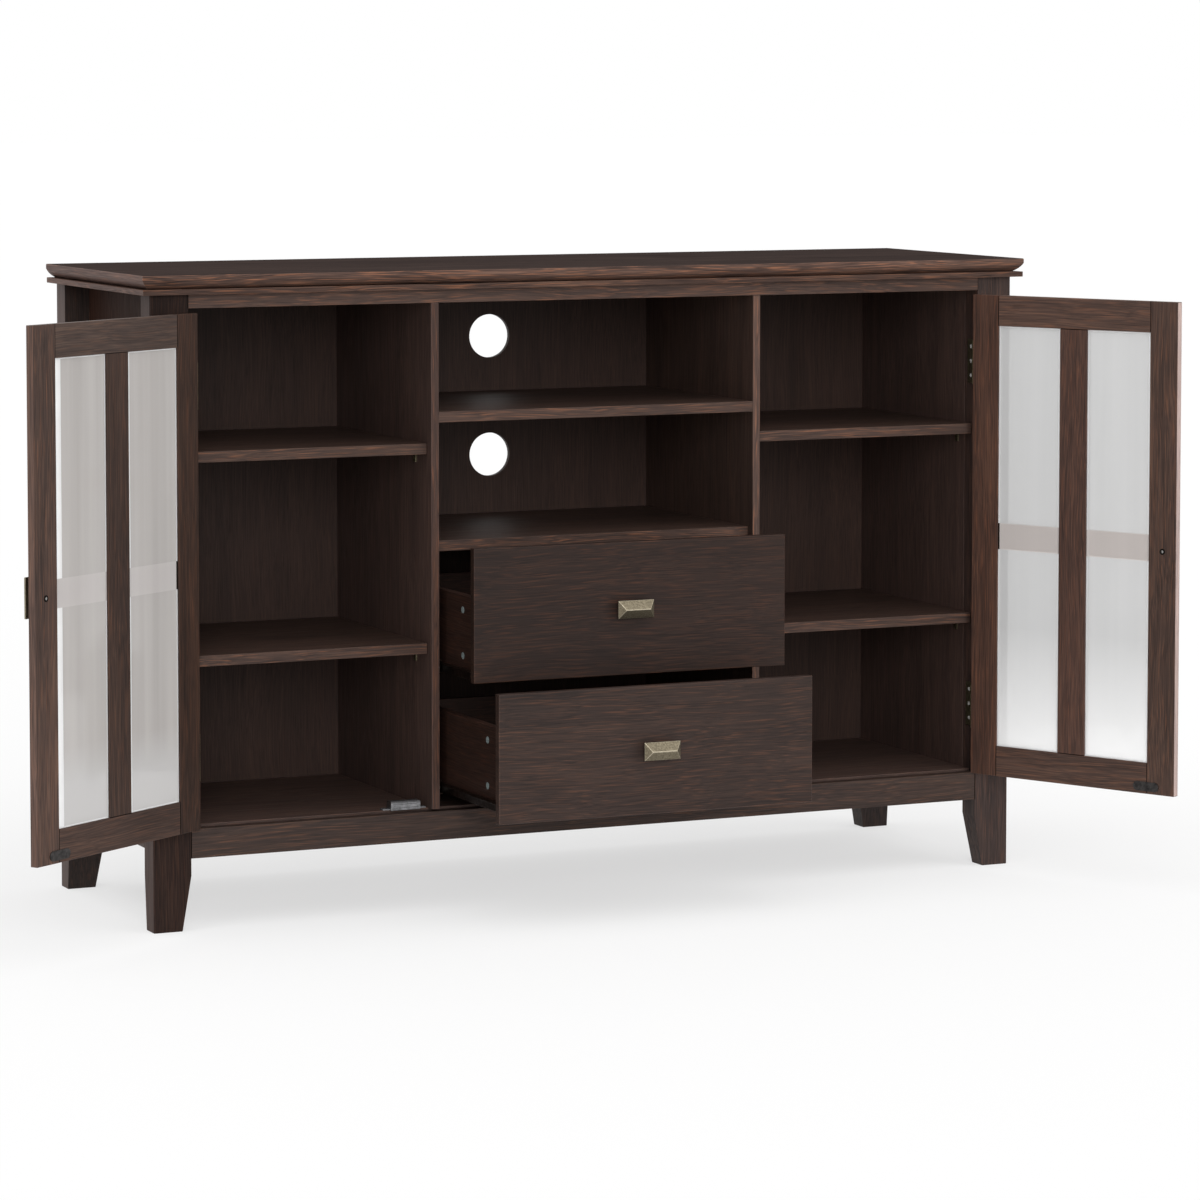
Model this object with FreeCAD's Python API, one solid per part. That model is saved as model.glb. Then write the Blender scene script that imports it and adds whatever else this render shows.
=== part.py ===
import FreeCAD, Part
import math
import os

# A tall television stand: a stained wood carcass on tapered corner posts, with
# a framed glass door over each side bay and two drawers in the centre bay.
# Lengths are in millimetres. The stand is built from the floor up, with the
# front left corner of its top above zero in X and Y. X runs to the right, Y to
# the back. Doors and drawers are built shut and then moved to where they rest.
# At the end every piece moves so that the origin is the centre of the top face.

# Whole stand
stand_width = 1346.0
stand_depth = 418.0
stand_height = 888.0

# Top with its moulded edge, and the plate under it
top_thickness = 19.0
top_lip_height = 6.5
top_bevel_inset = 13.0
top_bevel_bow = 1.6
top_arris_radius = 1.5
sub_top_thickness = 7.5
sub_top_inset = 1.0

# Corner posts
post_side_inset = 14.5
post_front_inset = 14.0
post_back_inset = 2.5
post_width = 54.0
post_depth = 37.5
post_arris = 1.2
foot_width = 41.0
foot_depth = 30.5
foot_taper_height = 75.0

# Rails between the posts
rail_thickness = 18.0
front_top_rail_height = 18.8
front_bottom_rail_height = 40.0
front_bottom_rail_rise = 98.4
side_rail_height = 40.0
side_rail_rise = 111.0
back_rail_height = 40.0
rail_tenon_length = 20.0
rail_tenon_thickness = 8.0
rail_tenon_shoulder = 4.0

# Panels
side_panel_thickness = 18.0
bottom_panel_thickness = 15.0
bottom_panel_reveal = 3.4
back_panel_thickness = 8.0
panel_tongue = 4.0
divider_thickness = 11.5
side_bay_width = 352.0
cable_hole_radius = 31.75
cable_hole_offset = 12.4
cable_hole_shares = [0.52, 0.532]

# Shelves
shelf_thickness = 15.0
centre_shelf_share = 0.7857
deck_share = 0.5296
deck_front_inset = 29.0
side_shelf_shares = [0.3277, 0.7226]
side_shelf_front_inset = 28.0
side_shelf_clearance = 1.0
bracket_sheet = 1.5
bracket_width = 9.0
bracket_height = 14.0
bracket_reach = 9.0
bracket_inset = 45.0

# Doors
door_free_gap = 1.6
door_top_gap = 5.6
door_thickness = 11.0
door_bottom_gap = 1.2
stile_width = 45.0
mullion_width = 46.0
door_rail_height = 44.0
door_lip = 5.0
glass_groove_depth = 6.0
glass_groove_width = 3.4
glass_thickness = 3.0
glass_clearance = 0.5
cross_bar_height = 38.0
cross_bar_share = 0.472
door_tenon_length = 12.0
door_tenon_thickness = 4.0
door_tenon_shoulder = 8.0
left_door_angle = 146.6
right_door_angle = 115.8

# Butt hinges with interleaved knuckles
hinge_height = 63.5
hinge_inset = 98.0
hinge_leaf_thickness = 1.0
hinge_leaf_gap = 0.4
hinge_post_leaf_width = 27.0
hinge_door_leaf_width = 10.0
hinge_barrel_radius = 2.8
hinge_barrel_gap = 0.4
hinge_pin_radius = 1.2
hinge_running_fit = 0.05
hinge_pin_head_radius = 2.2
hinge_pin_head_height = 1.6
knuckle_count = 5
knuckle_gap = 0.3

# Strike plates and magnetic catches
strike_length = 42.0
strike_height = 13.0
strike_thickness = 1.0
strike_inset = 46.0
strike_rise = 10.5
catch_length = 43.5
catch_depth = 16.0
catch_height = 12.0
catch_gap = 0.5
catch_ear_length = 10.25
catch_ear_thickness = 2.0
catch_slot_width = 3.2
catch_slot_inset = 4.0
catch_divider_gap = 2.5
catch_pole_thickness = 1.2
catch_pole_reach = 1.5
catch_pole_inset = 3.0

# Drawers
front_thickness = 12.0
front_gap = 4.5
front_arris = 0.8
lower_front_rise = 6.2
front_between_gap = 4.4
upper_front_cover = 0.4
lower_front_share = 0.4892
drawer_side_thickness = 12.0
drawer_side_height = 112.5
drawer_back_gap = 24.0
upper_side_rise = 2.5
lower_side_rise = 15.1
drawer_bottom_thickness = 3.2
drawer_bottom_rise = 8.0
drawer_groove_depth = 5.0
upper_drawer_pull = 111.0
lower_drawer_pull = 196.0

# Roller runners
runner_gap = 12.7
runner_sheet = 1.2
runner_wing_height = 12.3
runner_foot_width = 12.0
runner_reach = 9.7
runner_clearance = 0.35
channel_height = 18.5
channel_depth = 10.6
channel_front_inset = 29.0
channel_back_gap = 2.0
roller_radius = 6.0
roller_width = 6.8
roller_hub_radius = 2.4
roller_inset = 11.0

# Pulls
pull_length = 54.0
pull_width = 25.0
pull_projection = 23.0
pull_roof_height = 8.5
pull_rim_height = 2.2
pull_ridge_length = 37.0
pull_ridge_width = 1.0
pull_stem_radius = 5.0
pull_rose_radius = 8.0
pull_rose_height = 2.0
door_pull_inset = 22.0
door_pull_drop = 3.0

overrun = 5.0

# Places worked out from the sizes above
front_y = post_front_inset
rail_back_y = front_y + rail_thickness
back_post_y = stand_depth - post_back_inset - post_depth
back_panel_y = back_post_y - back_panel_thickness
bay_left_x = post_side_inset + post_width
bay_right_x = bay_left_x + side_bay_width
centre_left_x = bay_right_x + divider_thickness
centre_right_x = stand_width - centre_left_x
middle_x = stand_width / 2
sub_top_z = stand_height - top_thickness - sub_top_thickness
rail_top_z = sub_top_z - front_top_rail_height
rail_bottom_z = front_bottom_rail_rise + front_bottom_rail_height
bottom_panel_top = rail_bottom_z + bottom_panel_reveal
inner_height = rail_top_z - bottom_panel_top
side_shelf_tops = [bottom_panel_top + share * inner_height for share in side_shelf_shares]
centre_shelf_top = bottom_panel_top + centre_shelf_share * inner_height
deck_top = bottom_panel_top + deck_share * inner_height
door_bottom_z = rail_bottom_z + door_bottom_gap
door_height = rail_top_z - door_top_gap - door_bottom_z
door_edge_x = bay_left_x + 2 * hinge_leaf_thickness + hinge_leaf_gap
door_width = bay_right_x - door_free_gap - door_edge_x
pin_x = bay_left_x + hinge_leaf_thickness + hinge_leaf_gap / 2
pin_y = front_y - hinge_barrel_radius - hinge_barrel_gap
side_x = centre_left_x + runner_gap
front_left_x = centre_left_x + front_gap
front_back_y = front_y + front_thickness
drawer_side_length = back_panel_y - drawer_back_gap - front_back_y
lower_front_bottom = bottom_panel_top + lower_front_rise
fronts_height = deck_top + upper_front_cover - lower_front_bottom - front_between_gap
lower_front_height = lower_front_share * fronts_height
upper_front_height = fronts_height - lower_front_height
upper_front_bottom = lower_front_bottom + lower_front_height + front_between_gap

X_AXIS = FreeCAD.Vector(1, 0, 0)
Y_AXIS = FreeCAD.Vector(0, 1, 0)
Z_AXIS = FreeCAD.Vector(0, 0, 1)


def vector(x, y, z):
    return FreeCAD.Vector(x, y, z)


def block(x, y, z):
    """A box between pairs of limits along each axis."""
    return Part.makeBox(x[1] - x[0], y[1] - y[0], z[1] - z[0], vector(x[0], y[0], z[0]))


def prism(points, along):
    """A closed outline of (x, y, z) points swept along a vector."""
    wire = Part.makePolygon([vector(*point) for point in points + points[:1]])
    return Part.Face(wire).extrude(along)


def mirrored(shape):
    """The same shape on the other side of the stand's middle."""
    return shape.mirror(vector(middle_x, 0, 0), X_AXIS)


def moved(shape, x, y, z):
    copy = shape.copy()
    copy.translate(vector(x, y, z))
    return copy


def turned(shape, centre, axis, angle):
    copy = shape.copy()
    copy.rotate(centre, axis, angle)
    return copy


def joined(shapes):
    """Several overlapping solids as one solid."""
    return shapes[0].fuse(shapes[1:]).removeSplitter()


def group(shapes):
    """Separate solids kept in one node."""
    return Part.makeCompound(shapes)


# Top

def moulded_section(span, low, high, back_is_square):
    """The top's section across one direction, as (distance, height) edges.

    A square back stays upright, and any other side has the lip and the bevel.
    """
    lip = high - top_lip_height
    run = top_bevel_inset
    arc_middle = math.sqrt(2) / 2 * top_bevel_bow
    arris_share = 1 - math.sqrt(2) / 2

    def side(edge, inwards):
        foot = vector(edge + inwards * run, 0, low)
        shoulder = vector(edge, 0, lip)
        bow = (foot + shoulder) / 2 + vector(-inwards * arc_middle, 0, -arc_middle)
        upright_top = vector(edge, 0, high - top_arris_radius)
        arris_middle = vector(edge + inwards * top_arris_radius * arris_share, 0,
                              high - top_arris_radius * arris_share)
        flat_end = vector(edge + inwards * top_arris_radius, 0, high)
        bevel = Part.Arc(foot, bow, shoulder).toShape()
        upright = Part.makeLine(shoulder, upright_top)
        arris = Part.Arc(upright_top, arris_middle, flat_end).toShape()
        return foot, flat_end, [bevel, upright, arris]

    near_foot, near_end, near_edges = side(0, 1)
    if back_is_square:
        far_foot = vector(span, 0, low)
        far_end = vector(span, 0, high)
        far_edges = [Part.makeLine(far_foot, far_end)]
    else:
        far_foot, far_end, far_edges = side(span, -1)
    edges = near_edges + far_edges
    edges.append(Part.makeLine(near_end, far_end))
    edges.append(Part.makeLine(near_foot, far_foot))
    return Part.Face(Part.Wire(Part.__sortEdges__(edges)))


def make_top_slab():
    """Both sections swept and crossed, so the front corners are mitred."""
    low = stand_height - top_thickness
    across = moulded_section(stand_width, low, stand_height, False).extrude(Y_AXIS * stand_depth)
    section = moulded_section(stand_depth, low, stand_height, True)
    section.rotate(vector(0, 0, 0), Z_AXIS, 90)
    from_front = section.extrude(X_AXIS * stand_width)
    return across.common(from_front)


def make_sub_top():
    return block((sub_top_inset, stand_width - sub_top_inset), (sub_top_inset, stand_depth),
                 (sub_top_z, sub_top_z + sub_top_thickness))


# Carcass

def post_blank(back):
    """A left post with its two inner faces drawn in towards the foot."""
    left = post_side_inset
    outer = stand_depth - post_back_inset if back else front_y
    inwards = -1 if back else 1
    front_view = [(left, 0, 0), (left + foot_width, 0, 0), (left + post_width, 0, foot_taper_height),
                  (left + post_width, 0, sub_top_z), (left, 0, sub_top_z)]
    side_view = [(0, outer, 0), (0, outer + inwards * foot_depth, 0),
                 (0, outer + inwards * post_depth, foot_taper_height),
                 (0, outer + inwards * post_depth, sub_top_z), (0, outer, sub_top_z)]
    solid = prism(front_view, Y_AXIS * stand_depth).common(prism(side_view, X_AXIS * stand_width))
    corner = [edge for edge in solid.Edges
              if all(abs(v.X - left) < post_arris / 2 and abs(v.Y - outer) < post_arris / 2
                     for v in edge.Vertexes)]
    return solid.makeChamfer(post_arris, corner)


def tenon_between(x, y, z, along):
    """A rail with a tenon at both ends: the limits are its shoulders."""
    limits = [list(x), list(y), list(z)]
    rail = block(x, y, z)
    for axis in range(3):
        if axis == along:
            limits[axis] = [limits[axis][0] - rail_tenon_length, limits[axis][1] + rail_tenon_length]
        elif axis == 2:
            limits[axis] = [limits[axis][0] + rail_tenon_shoulder, limits[axis][1] - rail_tenon_shoulder]
        else:
            centre = (limits[axis][0] + limits[axis][1]) / 2
            limits[axis] = [centre - rail_tenon_thickness / 2, centre + rail_tenon_thickness / 2]
    return joined([rail, block(*limits)])


def make_front_rails():
    """The rails above and below the doors, flush with the posts."""
    span = (bay_left_x, stand_width - bay_left_x)
    top = tenon_between(span, (front_y, rail_back_y), (rail_top_z, sub_top_z), 0)
    bottom = tenon_between(span, (front_y, rail_back_y), (front_bottom_rail_rise, rail_bottom_z), 0)
    return top, bottom


def make_back_rails():
    span = (bay_left_x, stand_width - bay_left_x)
    depth = (back_post_y, back_post_y + rail_thickness)
    top = tenon_between(span, depth, (sub_top_z - back_rail_height, sub_top_z), 0)
    bottom = tenon_between(span, depth, (front_bottom_rail_rise, rail_bottom_z), 0)
    return [top, bottom]


def make_side_rails():
    left = tenon_between((post_side_inset, post_side_inset + rail_thickness),
                         (front_y + post_depth, back_post_y),
                         (side_rail_rise, side_rail_rise + side_rail_height), 1)
    return [left, mirrored(left)]


def make_side_panel():
    """The left panel, with tongues let into both posts."""
    outer = bay_left_x - side_panel_thickness
    tongue_share = 1 / 3
    tongue = side_panel_thickness * tongue_share
    panel = block((outer, bay_left_x), (front_y + post_depth, back_post_y), (side_rail_rise, sub_top_z))
    tongues = block((outer + tongue, outer + 2 * tongue),
                    (front_y + post_depth - panel_tongue, back_post_y + panel_tongue),
                    (side_rail_rise + panel_tongue, sub_top_z - panel_tongue))
    return joined([panel, tongues])


def make_posts(let_in):
    """Four posts, mortised for the rails and panels that are let into them."""
    posts = {}
    for row, back in (("front", False), ("back", True)):
        left = post_blank(back)
        posts["post_" + row + "_left"] = left.cut(let_in)
        posts["post_" + row + "_right"] = mirrored(left).cut(let_in)
    return posts


def make_carcass_top_panel():
    return block((bay_left_x, stand_width - bay_left_x), (rail_back_y, back_panel_y), (rail_top_z, sub_top_z))


def make_bottom_panel():
    return block((bay_left_x, stand_width - bay_left_x), (rail_back_y, back_panel_y),
                 (bottom_panel_top - bottom_panel_thickness, bottom_panel_top))


def make_back_panel():
    """Closes the back from rail to rail, with a cable hole for each centre bay."""
    panel = block((bay_left_x, stand_width - bay_left_x), (back_panel_y, back_post_y),
                  (bottom_panel_top - bottom_panel_thickness, sub_top_z))
    bays = ((deck_top, centre_shelf_top - shelf_thickness), (centre_shelf_top, rail_top_z))
    for (low, high), share in zip(bays, cable_hole_shares):
        start = vector(middle_x - cable_hole_offset, back_panel_y - overrun, low + share * (high - low))
        panel = panel.cut(Part.makeCylinder(cable_hole_radius, back_panel_thickness + 2 * overrun, start, Y_AXIS))
    return panel


def make_shelf_brackets():
    """Folded brackets that carry the left bay's two shelves at their corners."""
    brackets = []
    for shelf_top in side_shelf_tops:
        under = shelf_top - shelf_thickness
        for y in (side_shelf_front_inset + bracket_inset, back_panel_y - bracket_inset):
            start = y - bracket_width / 2
            for wall, inwards in ((bay_left_x, 1), (bay_right_x, -1)):
                outline = [(wall, start, under), (wall + inwards * bracket_reach, start, under),
                           (wall + inwards * bracket_reach, start, under - bracket_sheet),
                           (wall + inwards * bracket_sheet, start, under - bracket_sheet),
                           (wall + inwards * bracket_sheet, start, under - bracket_height),
                           (wall, start, under - bracket_height)]
                brackets.append(prism(outline, Y_AXIS * bracket_width))
    return brackets


def make_divider():
    return block((bay_right_x, centre_left_x), (front_y, back_panel_y), (bottom_panel_top, rail_top_z))


def make_side_shelf(shelf_top):
    return block((bay_left_x + side_shelf_clearance, bay_right_x - side_shelf_clearance),
                 (side_shelf_front_inset, back_panel_y - side_shelf_clearance),
                 (shelf_top - shelf_thickness, shelf_top))


def make_centre_shelf(shelf_top, front):
    return block((centre_left_x, centre_right_x), (front, back_panel_y),
                 (shelf_top - shelf_thickness, shelf_top))


def make_magnetic_catch():
    """A low housing with a slotted ear at each end and two grooves for its poles."""
    right = bay_right_x - catch_divider_gap
    left = right - catch_length - 2 * catch_ear_length
    front = front_y + door_thickness + strike_thickness + catch_gap
    body_left = left + catch_ear_length
    body_right = right - catch_ear_length
    base = bottom_panel_top
    body = block((body_left, body_right), (front, front + catch_depth), (base, base + catch_height))
    long_edges = [edge for edge in body.Edges
                  if edge.BoundBox.ZMin > base + catch_height / 2 and edge.BoundBox.XLength > catch_length / 2]
    body = body.makeChamfer(catch_ear_thickness, long_edges)
    ear_front = rail_back_y
    ear_back = front + catch_depth
    ear = block((left, right), (ear_front, ear_back), (base, base + catch_ear_thickness))
    housing = joined([body, ear])
    for inner, outer in ((body_left - catch_slot_inset, left), (body_right + catch_slot_inset, right)):
        centre = (ear_front + ear_back) / 2
        slot = block((min(inner, outer), max(inner, outer)),
                     (centre - catch_slot_width / 2, centre + catch_slot_width / 2),
                     (base - overrun, base + catch_ear_thickness + overrun))
        housing = housing.cut(slot)
    middle = base + catch_height / 2
    for low in (middle - catch_pole_inset, middle + catch_pole_inset - catch_pole_thickness):
        slot = block((body_left + catch_pole_inset, body_right - catch_pole_inset),
                     (front, front + catch_pole_reach), (low, low + catch_pole_thickness))
        housing = housing.cut(slot)
    return housing


# Hinges

def hinge_leaf(side, width, knuckles):
    """A leaf standing on its pin's axis, with its share of the knuckles.

    The side is -1 for the leaf on the post and 1 for the leaf on the door.
    """
    pitch = hinge_height / knuckle_count
    near = side * hinge_leaf_gap / 2
    far = near + side * hinge_leaf_thickness
    limits = (min(near, far), max(near, far))
    start = front_y - pin_y
    leaf = block(limits, (start, start + width), (0, hinge_height))
    pieces = [leaf]
    for index in knuckles:
        low = index * pitch + (knuckle_gap / 2 if index > 0 else 0)
        high = (index + 1) * pitch - (knuckle_gap / 2 if index < knuckle_count - 1 else 0)
        pieces.append(Part.makeCylinder(hinge_barrel_radius, high - low, vector(0, 0, low)))
        pieces.append(block(limits, (0, start + hinge_leaf_thickness), (low, high)))
    solid = joined(pieces)
    bore = Part.makeCylinder(hinge_pin_radius + hinge_running_fit, hinge_height + 2 * overrun,
                             vector(0, 0, -overrun))
    return solid.cut(bore)


def hinge_pin():
    """A pin with a button head that sits on the top knuckle."""
    pin = Part.makeCylinder(hinge_pin_radius, hinge_height, vector(0, 0, 0))
    head = Part.makeCylinder(hinge_pin_head_radius, hinge_pin_head_height, vector(0, 0, hinge_height))
    return joined([pin, head])


def hinge_places():
    """The low end of each of the left door's two hinges."""
    low = door_bottom_z + hinge_inset - hinge_height / 2
    high = door_bottom_z + door_height - hinge_inset - hinge_height / 2
    return [vector(pin_x, pin_y, low), vector(pin_x, pin_y, high)]


def make_hinges():
    """Post leaves, pins and door leaves of the left door, as it is shut."""
    post_knuckles = range(0, knuckle_count, 2)
    door_knuckles = range(1, knuckle_count, 2)
    post_leaves = []
    pins = []
    door_leaves = []
    for place in hinge_places():
        post_leaves.append(moved(hinge_leaf(-1, hinge_post_leaf_width, post_knuckles), *place))
        pins.append(moved(hinge_pin(), *place))
        door_leaves.append(moved(hinge_leaf(1, hinge_door_leaf_width, door_knuckles), *place))
    return post_leaves, pins, door_leaves


# Pull

def pull_bar():
    """A bar with a hipped roof on a round stem and rose, standing out along -Y."""
    rim_back = pull_projection - pull_roof_height - pull_rim_height
    rim_front = pull_projection - pull_roof_height
    half_length = pull_length / 2
    half_width = pull_width / 2
    rim = block((-half_length, half_length), (-rim_front, -rim_back), (-half_width, half_width))
    roof = Part.makeWedge(-half_length, 0, -half_width, -pull_ridge_width / 2, -pull_ridge_length / 2,
                          half_length, pull_roof_height, half_width, pull_ridge_width / 2,
                          pull_ridge_length / 2)
    roof.rotate(vector(0, 0, 0), X_AXIS, 180)
    roof.translate(vector(0, -rim_front, 0))
    foot = vector(0, 0, 0)
    stem = Part.makeCylinder(pull_stem_radius, rim_back, foot, -Y_AXIS)
    rose = Part.makeCylinder(pull_rose_radius, pull_rose_height, foot, -Y_AXIS)
    return joined([rim, roof, stem, rose])


# Doors

def pane_limits():
    """The two openings that the mullion leaves between the stiles."""
    mullion_left = (door_width - mullion_width) / 2
    return [(stile_width, mullion_left), (mullion_left + mullion_width, door_width - stile_width)]


def glass_seats():
    """The opening's groove for each pane, between an outer and an inner lip."""
    seats = []
    for left, right in pane_limits():
        seats.append(block((left - glass_groove_depth, right + glass_groove_depth),
                           (door_lip, door_lip + glass_groove_width),
                           (door_rail_height - glass_groove_depth,
                            door_height - door_rail_height + glass_groove_depth)))
    return seats


def rail_tenons():
    """The tenons at both ends of both door rails."""
    tenons = []
    middle = door_thickness / 2
    depth = (middle - door_tenon_thickness / 2, middle + door_tenon_thickness / 2)
    for low in (0, door_height - door_rail_height):
        for left in (stile_width - door_tenon_length, door_width - stile_width):
            tenons.append(block((left, left + door_tenon_length), depth,
                                (low + door_tenon_shoulder, low + door_rail_height - door_tenon_shoulder)))
    return tenons


def mullion_tenons():
    tenons = []
    middle = door_thickness / 2
    left = (door_width - mullion_width) / 2 + door_tenon_shoulder
    for low in (door_rail_height - door_tenon_length, door_height - door_rail_height):
        tenons.append(block((left, left + mullion_width - 2 * door_tenon_shoulder),
                            (middle - door_tenon_thickness / 2, middle + door_tenon_thickness / 2),
                            (low, low + door_tenon_length)))
    return tenons


def make_door_frame():
    """Stiles, rails and mullion, grooved all round for the glass."""
    full = (0, door_thickness)
    seats = glass_seats()
    tenons = rail_tenons()
    studs = mullion_tenons()
    frame = {}
    hinge_stile = block((0, stile_width), full, (0, door_height))
    free_stile = block((door_width - stile_width, door_width), full, (0, door_height))
    frame["stile_hinge"] = hinge_stile.cut(seats + tenons)
    frame["stile_free"] = free_stile.cut(seats + tenons)
    span = (stile_width, door_width - stile_width)
    for name, low, ends in (("rail_bottom", 0, tenons[:2]),
                            ("rail_top", door_height - door_rail_height, tenons[2:])):
        rail = block(span, full, (low, low + door_rail_height))
        frame[name] = joined([rail.cut(seats + studs)] + ends)
    left = (door_width - mullion_width) / 2
    mullion = block((left, left + mullion_width), full, (door_rail_height, door_height - door_rail_height))
    frame["mullion"] = joined([mullion.cut(seats)] + studs)
    return frame


def make_cross_bars():
    """A short bar across each pane, in front of the glass."""
    high = door_height * (1 - cross_bar_share)
    bars = []
    for left, right in pane_limits():
        bars.append(block((left, right), (0, door_lip), (high - cross_bar_height, high)))
    return bars


def make_glass_panes():
    reach = glass_groove_depth - glass_clearance
    panes = []
    for left, right in pane_limits():
        panes.append(block((left - reach, right + reach), (door_lip, door_lip + glass_thickness),
                           (door_rail_height - reach, door_height - door_rail_height + reach)))
    return panes


def make_strike_plate():
    """A round ended plate on the inner face, over the magnetic catch."""
    radius = strike_height / 2
    middle = door_width - strike_inset
    reach = strike_length / 2 - radius
    pieces = [block((middle - reach, middle + reach), (door_thickness, door_thickness + strike_thickness),
                    (strike_rise - radius, strike_rise + radius))]
    for x in (middle - reach, middle + reach):
        start = vector(x, door_thickness, strike_rise)
        pieces.append(Part.makeCylinder(radius, strike_thickness, start, Y_AXIS))
    return joined(pieces)


def make_door():
    """The left door, shut, without its hinge leaves."""
    door = make_door_frame()
    door["cross_bars"] = group(make_cross_bars())
    door["glass_panes"] = group(make_glass_panes())
    handle = turned(pull_bar(), vector(0, 0, 0), Y_AXIS, 90)
    door["handle"] = moved(handle, door_width - door_pull_inset, 0, door_height / 2 - door_pull_drop)
    door["strike_plate"] = make_strike_plate()
    return {name: moved(shape, door_edge_x, front_y, door_bottom_z) for name, shape in door.items()}


# Drawers

def make_runner(side_bottom):
    """The left runner of a drawer, and the channel that it rolls in.

    The drawer's section folds under the side and out over the front roller of
    the channel, and its own roller at the back runs inside the channel.
    """
    front = front_back_y
    back = front + drawer_side_length
    sheet = runner_sheet
    wing_top = side_bottom + runner_wing_height
    wing_under = wing_top - sheet
    upright = block((side_x - sheet, side_x), (front, back), (side_bottom - sheet, wing_top))
    foot = block((side_x - sheet, side_x + runner_foot_width), (front, back), (side_bottom - sheet, side_bottom))
    wing = block((side_x - runner_reach, side_x), (front, back), (wing_under, wing_top))
    member = joined([upright, foot, wing])
    roller_centre = wing_under - sheet / 2 - roller_radius
    hub_start = side_x - sheet
    roller_y = back - roller_inset
    roller_left = hub_start - runner_clearance - roller_width
    hub = Part.makeCylinder(roller_hub_radius, runner_clearance + roller_width,
                            vector(roller_left, roller_y, roller_centre), X_AXIS)
    wheel = Part.makeCylinder(roller_radius, roller_width,
                              vector(roller_left, roller_y, roller_centre), X_AXIS)
    drawer_roller = joined([hub, wheel])

    floor_top = roller_centre - roller_radius - runner_clearance
    low = floor_top - sheet
    channel_back = back_panel_y - channel_back_gap
    length = (channel_front_inset, channel_back)
    web = block((centre_left_x, centre_left_x + sheet), length, (low, low + channel_height))
    reach = (centre_left_x, centre_left_x + channel_depth)
    floor = block(reach, length, (low, floor_top))
    roof = block(reach, length, (low + channel_height - sheet, low + channel_height))
    channel = joined([web, floor, roof])
    front_centre = wing_under - runner_clearance - roller_radius
    front_y_place = channel_front_inset + roller_inset
    start = centre_left_x + sheet
    hub = Part.makeCylinder(roller_hub_radius, runner_clearance + roller_width,
                            vector(start, front_y_place, front_centre), X_AXIS)
    wheel = Part.makeCylinder(roller_radius, roller_width,
                              vector(start + runner_clearance, front_y_place, front_centre), X_AXIS)
    cabinet_roller = joined([hub, wheel])
    return [member, drawer_roller], [channel, cabinet_roller]


def make_drawer(front_bottom, front_height, side_bottom):
    """One drawer, shut, without its runners."""
    front = block((front_left_x, stand_width - front_left_x), (front_y, front_back_y),
                  (front_bottom, front_bottom + front_height))
    face_edges = [edge for edge in front.Edges if edge.BoundBox.YMax < front_y + front_arris]
    front = front.makeChamfer(front_arris, face_edges)
    back_y = front_back_y + drawer_side_length
    inner_x = side_x + drawer_side_thickness
    side_top = side_bottom + drawer_side_height
    bottom_low = side_bottom + drawer_bottom_rise
    bottom_high = bottom_low + drawer_bottom_thickness
    bottom = block((inner_x - drawer_groove_depth, stand_width - inner_x + drawer_groove_depth),
                   (front_back_y - drawer_groove_depth, back_y), (bottom_low, bottom_high))
    left = block((side_x, inner_x), (front_back_y, back_y), (side_bottom, side_top)).cut(bottom)
    back = block((inner_x, stand_width - inner_x), (back_y - drawer_side_thickness, back_y),
                 (bottom_high, side_top))
    handle = moved(pull_bar(), middle_x, front_y, front_bottom + front_height / 2)
    return {"front": front.cut(bottom), "sides": group([left, mirrored(left)]), "back": back,
            "bottom": bottom, "handle": handle}


# Whole stand

def left_door_pose(shape):
    return turned(shape, vector(pin_x, pin_y, 0), Z_AXIS, -left_door_angle)


def right_door_pose(shape):
    return turned(mirrored(shape), vector(stand_width - pin_x, pin_y, 0), Z_AXIS, right_door_angle)


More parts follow.
